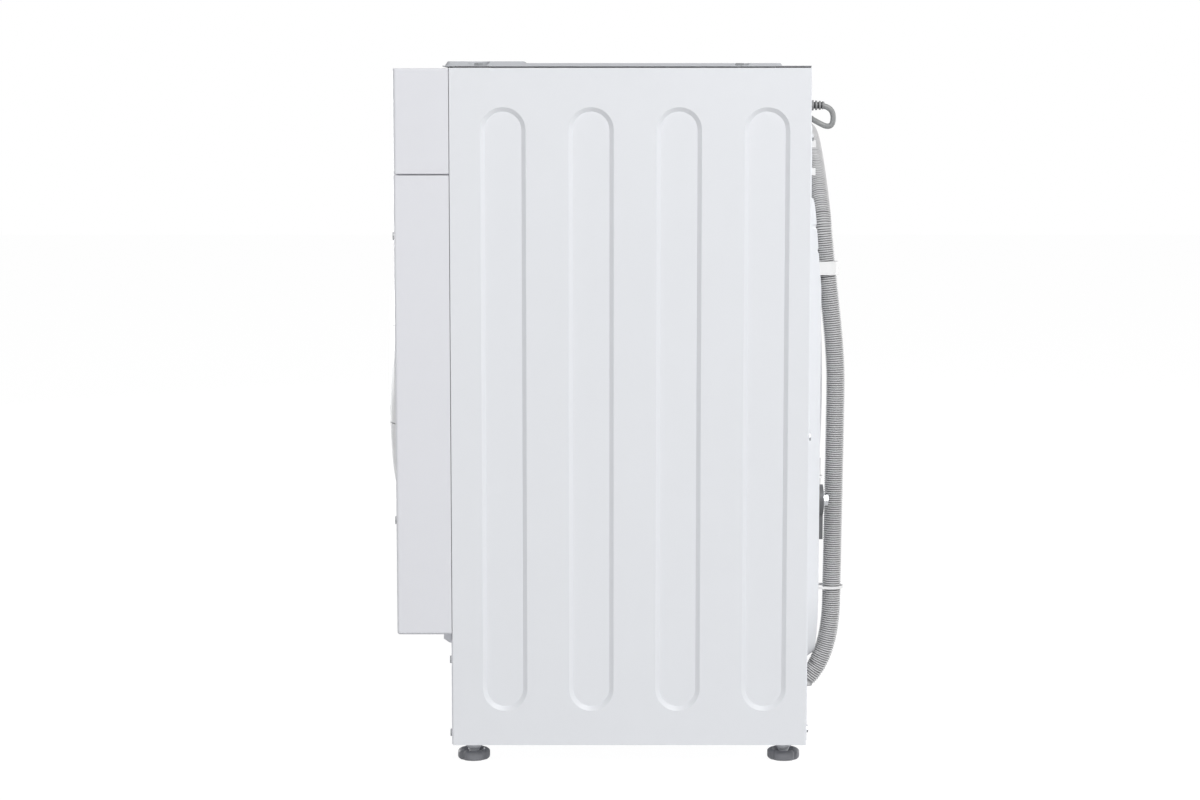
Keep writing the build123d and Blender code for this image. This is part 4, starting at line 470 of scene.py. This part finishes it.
def new_mesh(name, points, faces, finish, body, smooth=True):
    """A mesh piece that rides on a body."""
    mesh = bpy.data.meshes.new(name)
    mesh.from_pydata([tuple(point) for point in points], [], faces)
    mesh.validate()
    mesh.materials.append(finish.material)
    piece = bpy.data.objects.new(name, mesh)
    bpy.context.scene.collection.objects.link(piece)
    for polygon in mesh.polygons:
        polygon.use_smooth = smooth
    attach(piece, body)
    return piece


def spline_curve(name, points, radius=0.0):
    """A smooth curve drawn in by its control points, thick by its radius."""
    curve = bpy.data.curves.new(name, "CURVE")
    curve.dimensions = "3D"
    spline = curve.splines.new("NURBS")
    spline.points.add(len(points) - 1)
    for spot, point in zip(spline.points, points):
        spot.co = (*point, 1.0)
    spline.order_u = 3
    spline.use_endpoint_u = True
    spline.resolution_u = 12
    curve.bevel_depth = radius
    curve.bevel_resolution = 8
    curve.use_fill_caps = True
    piece = bpy.data.objects.new(name, curve)
    bpy.context.scene.collection.objects.link(piece)
    return piece


def read_route(points, name):
    """Points along the smooth line that the control points draw in."""
    guide = spline_curve(name, points)
    bpy.context.view_layer.update()
    mesh = bpy.data.meshes.new_from_object(guide)
    places = [vertex.co.copy() for vertex in mesh.vertices]
    bpy.data.meshes.remove(mesh)
    bpy.data.objects.remove(guide)
    return places


def swept_rings(places, profile, sides):
    """Rings across a route at the profile's distances and radii, without twist."""
    lengths = [0.0]
    for first, second in zip(places, places[1:]):
        lengths.append(lengths[-1] + (second - first).length)
    points = []
    index = 0
    across = None
    for distance, radius in profile(lengths[-1]):
        while index < len(lengths) - 2 and lengths[index + 1] < distance:
            index += 1
        share = (distance - lengths[index]) / (lengths[index + 1] - lengths[index])
        centre = places[index].lerp(places[index + 1], share)
        before = places[max(index - 1, 0)]
        after = places[min(index + 2, len(places) - 1)]
        along = (after - before).normalized()
        if across is None:
            across = along.orthogonal().normalized()
        across = (across - along * across.dot(along)).normalized()
        side = along.cross(across)
        for step in range(sides):
            turn = 2 * math.pi * step / sides
            points.append(centre + (across * math.cos(turn) + side * math.sin(turn)) * radius)
    return points


def ring_faces(rings, sides):
    """Quads between neighbouring rings."""
    faces = []
    for ring in range(rings - 1):
        for step in range(sides):
            first = ring * sides + step
            second = ring * sides + (step + 1) % sides
            faces.append((first, second, second + sides, first + sides))
    return faces


def lathe(profile, sides, place, dent=None):
    """Points of a turned form of radius and height pairs, put where place says, thinner by its dents."""
    points = []
    for radius, height in profile:
        for step in range(sides):
            turn = 2 * math.pi * step / sides
            reach = radius - (dent(turn, radius) if dent else 0.0)
            points.append(place(reach * math.cos(turn), reach * math.sin(turn), height))
    return points


def slab_points(x0, x1, z0, z1, corner, y0, y1):
    """Two equal outlines with cut corners, at the front and at the back."""
    outline = [
        (x0 + corner, z0), (x1 - corner, z0), (x1, z0 + corner), (x1, z1 - corner),
        (x1 - corner, z1), (x0 + corner, z1), (x0, z1 - corner), (x0, z0 + corner),
    ]
    return [(x, y, z) for y in (y0, y1) for x, z in outline]


# Camera, light and floor


def add_camera():
    """The photograph's view of the machine's right side, slightly from above."""
    camera = bpy.data.cameras.new("camera")
    camera.sensor_width = 36.0
    camera.lens = lens_pixels / picture_width * camera.sensor_width
    camera.clip_end = 50.0
    placed = bpy.data.objects.new("camera", camera)
    placed.location = camera_place
    placed.rotation_euler = (math.pi / 2 - camera_pitch, 0, math.pi / 2)
    bpy.context.scene.collection.objects.link(placed)
    bpy.context.scene.camera = placed


def area_light(name, place, target, size, power):
    """A square soft box that looks at a point."""
    lamp = bpy.data.lights.new(name, "AREA")
    lamp.shape = "SQUARE"
    lamp.size = size
    lamp.energy = power
    placed = bpy.data.objects.new(name, lamp)
    placed.location = place
    placed.rotation_euler = (Vector(target) - Vector(place)).to_track_quat("-Z", "Y").to_euler()
    bpy.context.scene.collection.objects.link(placed)


def add_world():
    """Soft surroundings, dimmer overhead, and plain white where they are seen or mirrored."""
    world = bpy.data.worlds.new("surroundings")
    bpy.context.scene.world = world
    world.use_nodes = True
    tree = world.node_tree
    background = tree.nodes["Background"]
    background.inputs["Color"].default_value = (1.0, 1.0, 1.0, 1.0)
    paths = tree.nodes.new("ShaderNodeLightPath")
    seen = paths.outputs["Is Camera Ray"]
    for kind in ("Is Glossy Ray", "Is Transmission Ray"):
        either = tree.nodes.new("ShaderNodeMath")
        either.operation = "MAXIMUM"
        tree.links.new(seen, either.inputs[0])
        tree.links.new(paths.outputs[kind], either.inputs[1])
        seen = either.outputs[0]
    height = tree.nodes.new("ShaderNodeSeparateXYZ")
    tree.links.new(tree.nodes.new("ShaderNodeTexCoord").outputs["Generated"], height.inputs[0])
    surround = tree.nodes.new("ShaderNodeMapRange")
    surround.inputs["To Min"].default_value = surround_low
    surround.inputs["To Max"].default_value = surround_high
    tree.links.new(height.outputs["Z"], surround.inputs["Value"])
    level = tree.nodes.new("ShaderNodeMath")
    level.operation = "MAXIMUM"
    tree.links.new(surround.outputs["Result"], level.inputs[0])
    tree.links.new(seen, level.inputs[1])
    tree.links.new(level.outputs[0], background.inputs["Strength"])


def add_floor():
    """White floor that keeps the machine's contact shadow."""
    mesh = bpy.data.meshes.new("floor")
    corners = [(x * floor_reach, y * floor_reach, 0) for x, y in ((-1, -1), (1, -1), (1, 1), (-1, 1))]
    mesh.from_pydata(corners, [], [(0, 1, 2, 3)])
    floor = bpy.data.objects.new("floor", mesh)
    bpy.context.scene.collection.objects.link(floor)
    material = bpy.data.materials.new("floor")
    material.use_nodes = True
    tree = material.node_tree
    shader = tree.nodes["Principled BSDF"]
    shader.inputs["Base Color"].default_value = (floor_tone, floor_tone, floor_tone, 1.0)
    shader.inputs["Roughness"].default_value = 0.9
    glow = tree.nodes.new("ShaderNodeEmission")
    glow.inputs["Strength"].default_value = floor_glow
    paths = tree.nodes.new("ShaderNodeLightPath")
    mix = tree.nodes.new("ShaderNodeMixShader")
    share = tree.nodes.new("ShaderNodeMapRange")
    share.inputs["To Min"].default_value = glow_unseen
    share.inputs["To Max"].default_value = glow_seen
    tree.links.new(paths.outputs["Is Camera Ray"], share.inputs["Value"])
    tree.links.new(share.outputs["Result"], mix.inputs["Fac"])
    tree.links.new(shader.outputs[0], mix.inputs[1])
    tree.links.new(glow.outputs[0], mix.inputs[2])
    tree.links.new(mix.outputs[0], tree.nodes["Material Output"].inputs["Surface"])
    mesh.materials.append(material)


# Cord and hose


def cord_points():
    """Control points of the mains lead, from the gland to the plug."""
    points = [
        gland_mouth,
        (0.200, cord_loop_y, 0.770),
        (0.1995, cord_loop_y, 0.741),
        (0.195, 0.2295, 0.754),
        (0.180, cord_run_y, cord_run_z),
        (0.156, cord_run_y, cord_run_z + cord_sway),
        (0.078, cord_run_y, cord_run_z - cord_sway),
        (-0.012, cord_run_y, cord_run_z + cord_sway),
        (-0.100, cord_run_y, cord_run_z - cord_sway),
        (-0.166, cord_run_y, cord_run_z),
    ]
    points += coil_points()
    x, y, z = points[-1]
    plug_top = z - plug_drop
    plug_y = cabinet_back + plug_out
    points += [
        (x, y, z - plug_straight),
        (x, (y + plug_y) / 2, (z + plug_top) / 2),
        (x, plug_y, plug_top + plug_straight),
        (x, plug_y, plug_top - plug_hold),
    ]
    return points


def coil_points():
    """Two and a half turns inwards, then on top of them one and three quarters outwards."""
    reach = 1 / math.cos(math.pi / coil_points_per_turn)
    centre_z = cord_run_z - coil_top_radius
    count = round(coil_half_turns * coil_points_per_turn / 2)
    points = []
    for index in range(count + 1):
        halves = 2 * index / coil_points_per_turn
        inward = coil_top_radius - coil_step_in * min(halves, coil_halves_in)
        radius = inward + coil_step_out * max(halves - coil_halves_in, 0)
        climb = min(max(halves - coil_halves_in + 1, 0), 1)
        turn = math.pi * halves
        points.append((
            coil_x - radius * reach * math.sin(turn),
            cord_run_y + coil_lift * climb,
            centre_z + radius * reach * math.cos(turn),
        ))
    return points


def power_cord(finish):
    """The mains lead as one smooth tube."""
    lead = spline_curve("mains_lead", cord_points(), cord_radius)
    lead.data.materials.append(finish.material)
    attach(lead, "cabinet")
    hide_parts("power_cord")


def hose_points():
    """Control points of the drain hose, from the pump up the back, over and down."""
    belly_y = 0.2658
    left_y = 0.2620
    shoulder_y = 0.2520
    arch_y = 0.2460
    top_y = 0.2395
    return [
        pump_outlet,
        (hose_side, 0.150, pump_outlet[2]),
        (hose_side, 0.205, pump_outlet[2]),
        (hose_side, 0.2625, 0.1005),
        (hose_side, 0.2640, 0.240),
        (hose_side, belly_y, 0.400),
        (hose_side, belly_y, 0.470),
        (hose_side, shoulder_y, 0.585),
        (hose_side, arch_y, 0.6507),
        (0.0627, top_y, 0.738),
        (-0.0627, top_y, 0.738),
        (-hose_side, arch_y, 0.6507),
        (-hose_side, shoulder_y, 0.585),
        (-hose_side, left_y, 0.470),
        (-hose_side, left_y, 0.253),
    ]


def hose_profile(total):
    """Distance along the hose and radius: smooth in the base, ribbed outside, a smooth cuff at the end."""
    cuff_from = total - cuff_length
    ribbed = cuff_from - hose_smooth_length
    count = round(ribbed / hose_rib_pitch)
    pitch = ribbed / count
    rib = (
        (0.0, hose_groove_radius),
        (0.22, hose_shoulder_radius),
        (0.42, hose_radius),
        (0.62, hose_shoulder_radius),
        (0.84, hose_groove_radius),
    )
    rows = [(0.0, hose_radius), (hose_smooth_length - 0.004, hose_radius)]
    for index in range(count):
        start = hose_smooth_length + index * pitch
        rows += [(start + share * pitch, radius) for share, radius in rib]
    return rows + [
        (cuff_from, hose_groove_radius),
        (cuff_from + 0.0005, cuff_radius),
        (total - 0.001, cuff_radius),
        (total, cuff_lip_radius),
        (total, cuff_bore_radius),
        (total - cuff_bore_depth, cuff_bore_radius),
    ]


def drain_hose(finish):
    """Corrugated hose with one rib every few millimetres."""
    sides = 20
    points = swept_rings(read_route(hose_points(), "hose_guide"), hose_profile, sides)
    faces = ring_faces(len(points) // sides, sides)
    piece = new_mesh("ribbed_hose", points, faces, finish, "cabinet")
    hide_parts("drain_hose")


# Feet, strain relief and dial


def foot_profile():
    """Radius and height of a foot: rounded pad, dished top, collar and threaded stem."""
    rows = [
        (0.0001, 0.0), (0.0145, 0.0), (0.0172, 0.0007), (0.0186, 0.0020), (0.0190, 0.0036),
        (0.0190, 0.0092), (0.0184, 0.0104), (0.0166, 0.0116), (0.0146, 0.0122), (0.0134, 0.0120),
        (0.0126, 0.0110), (0.0104, 0.0080), (0.0086, 0.0070), (0.0040, 0.0072), (0.0068, 0.0118),
        (0.0050, 0.0119),
    ]
    height = thread_from
    while height < thread_top:
        rows += [(thread_root, height), (thread_crest, height + thread_pitch / 2)]
        height += thread_pitch
    return rows + [(thread_root, height), (0.0001, height)]


def foot_dent(turn, radius):
    """How much the rim of the pad is drawn in at the four notches between its lobes."""
    if radius < foot_rim_radius:
        return 0.0
    away = abs((turn + math.pi / 4) % (math.pi / 2) - math.pi / 4)
    from_notch = math.pi / 4 - away
    return notch_depth * max(0.0, 1 - from_notch / notch_angle)


def feet(finish):
    """The four adjustable feet."""
    sides = 96
    profile = foot_profile()
    for name, (x, y) in zip(foot_names, foot_places):
        points = lathe(profile, sides, lambda a, b, height: (x + a, y + b, height), foot_dent)
        pad = new_mesh(f"pad_{name}", points, ring_faces(len(profile), sides), finish,
                       f"{name}_foot")
        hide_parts(f"foot_{name}")


def relief_profile():
    """Radius and place along the lead: sleeve through the web, collar, ribs between slots, nose."""
    rows = [(0.0030, -0.0060), (0.0058, -0.0060), (0.0058, 0.0036), (0.0064, 0.0037), (0.0064, 0.0056)]
    start = relief_start
    radius = relief_radius
    for _ in range(relief_ribs):
        rows += [
            (relief_core, start),
            (relief_core, start + relief_slot),
            (radius, start + relief_slot + relief_edge),
            (radius - relief_edge, start + relief_pitch - relief_edge),
        ]
        start += relief_pitch
        radius -= relief_taper
    return rows + [
        (relief_core, start + 0.0001),
        (relief_core, start + 0.0016),
        (0.0048, start + 0.0017),
        (0.0042, start + 0.0042),
        (0.0034, start + 0.0042),
    ]


def strain_relief(finish):
    """Slotted sleeve round the mains lead, narrowing outwards, with its flange on the web."""
    sides = 32
    x, _, z = gland_mouth
    profile = relief_profile()
    points = lathe(profile, sides, lambda a, b, along: (x + a, cabinet_back + along, z + b))
    faces = ring_faces(len(profile), sides)
    first = len(points)
    points += slab_points(x - 0.009, x + 0.009, z - 0.0052, z + 0.007, relief_corner,
                          cabinet_back + 0.0002, cabinet_back + 0.004)
    faces += [tuple(first + index for index in face) for face in ring_faces(2, 8)]
    faces += [tuple(range(first, first + 8)), tuple(reversed(range(first + 8, first + 16)))]
    piece = new_mesh("strain_relief", points, faces, finish, "cabinet", False)
    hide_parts("cord_gland")


def dial_marks(finish):
    """Short printed strokes round the programme knob, a longer one at each quarter."""
    points = []
    faces = []
    for index in range(stroke_count):
        turn = 2 * math.pi * index / stroke_count
        outer = stroke_ring + (short_stroke if index % strokes_per_quarter else long_stroke)
        for depth in (front_face + stroke_root, front_face - stroke_height):
            for reach, side in ((stroke_ring, -1), (stroke_ring, 1), (outer, 1), (outer, -1)):
                across = side * stroke_half_width
                points.append((
                    knob_x + reach * math.sin(turn) + across * math.cos(turn),
                    depth,
                    knob_z + reach * math.cos(turn) - across * math.sin(turn),
                ))
        first = 8 * index
        faces.append((first + 4, first + 5, first + 6, first + 7))
        for edge in range(4):
            after = (edge + 1) % 4
            faces.append((first + edge, first + after, first + 4 + after, first + 4 + edge))
    new_mesh("dial_marks", points, faces, finish, "cabinet", False)


# Finishes on the carried-over nodes


def set_finish(finish, *nodes):
    """Give nodes of the frame a finish."""
    for name in nodes:
        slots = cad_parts[name].data.materials
        slots.clear()
        slots.append(finish.material)


def finish_shell():
    """Cabinet, front panels, door and what is worked from the front."""
    white = painted_steel("white_paint", paint_white)
    set_finish(white, "side_panel_right", "side_panel_left", "rear_panel", "base_pan")
    # Painted shade: the cover's paint is darker than the sides' white paint
    cover = painted_steel("shaded_cover_paint", shaded_cover_white)
    cover.set(Coat_Weight=0.0, Specular_IOR_Level=0.0)
    set_finish(cover, "top_cover")
    front = painted_steel("front_paint", panel_white)
    set_finish(front, "front_panel", "plinth_panel")
    set_finish(channel_steel(), "crossbars")
    fascia = moulded("fascia_plastic", panel_white, 0.34, grain=0.0006, depth=0.000006, tone=0.01)
    fascia.set(Coat_Weight=0.2, Coat_Roughness=0.2)
    set_finish(fascia, "control_panel", "drawer_front")
    door = moulded("door_plastic", plastic_white, 0.33, grain=0.0006, depth=0.000001, tone=0.01)
    door.set(Specular_IOR_Level=0.25)
    set_finish(door, "door_ring")
    inner = moulded("white_plastic", plastic_white, 0.5)
    set_finish(inner, "door_inner_ring", "drawer_tray", "filter_flap", "inlet_valve", "pressure_switch",
               "drain_pump")
    window = moulded("window_plastic", window_black, 0.12, grain=0.002, depth=0.000002, tone=0.05)
    set_finish(window, "display_module")
    silver = moulded("silver_plastic", silver_grey, 0.3, depth=0.000004)
    silver.set(Metallic=0.55)
    set_finish(silver, "programme_knob", "power_button", "start_button", "door_handle")
    set_finish(clear_glass(), "door_glass")


def finish_plastics():
    """Moulded, rubber and cast pieces inside the cabinet and behind it."""
    set_finish(moulded("strap_plastic", strap_white, 0.46), "rear_clips")
    tub = moulded("tub_plastic", tub_grey, 0.55, grain=0.0012, depth=0.00002, tone=0.05)
    set_finish(tub, "tub_front", "tub_rear", "dispenser_housing")
    set_finish(moulded("grey_plastic", fitting_grey, 0.48), "drum_lifters", "filter_cap", "dampers")
    set_finish(moulded("dark_plastic", dark_grey, 0.5), "door_lock")
    spacer = moulded("spacer_plastic", spacer_grey, 0.5, grain=0.0012, depth=0.00002, tone=0.05)
    set_finish(spacer, "transport_spacers")
    set_finish(plug_plastic(), "power_plug")
    set_finish(rubber("belt_rubber", black_rubber_and_gap_shade), "drive_belt", "water_hoses")
    set_finish(rubber("gasket_rubber", gasket_grey), "door_gasket")
    set_finish(concrete(), "counterweights")


def finish_metals():
    """Bare metal pieces, most of them inside the cabinet."""
    bare = metal("bare_steel", steel_grey, 0.36)
    set_finish(bare, "tub_clips", "tub_bolts", "suspension_springs", "shaft_bearings", "motor_pulley",
               "latch_hook", "cabinet_screws", "heating_element")
    set_finish(metal("bright_zinc", zinc_bright, 0.34), "transport_bolts")
    cast = metal("cast_aluminium", silver_grey, 0.46, grain=0.0016, depth=0.00006, tone=0.1)
    set_finish(cast, "drum_spider", "drum_pulley", "motor", "door_hinge_base", "door_hinge_arm")
    set_finish(stainless_shell(), "drum")


add_camera()
add_world()
add_floor()
area_light("key", (4.2, 1.85, 4.15), (0.3, 0, 0.42), size=2.0, power=218)
area_light("front", (-2.6, -2.4, 0.6), (0, -0.2, 0.45), size=1.1, power=54)
area_light("back", (-1.5, 3.0, 0.6), (0, 0.2, 0.45), size=1.1, power=34)

finish_shell()
finish_plastics()
finish_metals()
power_cord(moulded("lead_sheath", lead_grey, 0.42, grain=0.0009, tone=0.05))
drain_hose(hose_plastic())
feet(foot_plastic())
strain_relief(relief_plastic())
dial_marks(moulded("print_grey", dark_grey, 0.45))

bpy.context.scene.view_settings.view_transform = "Standard"
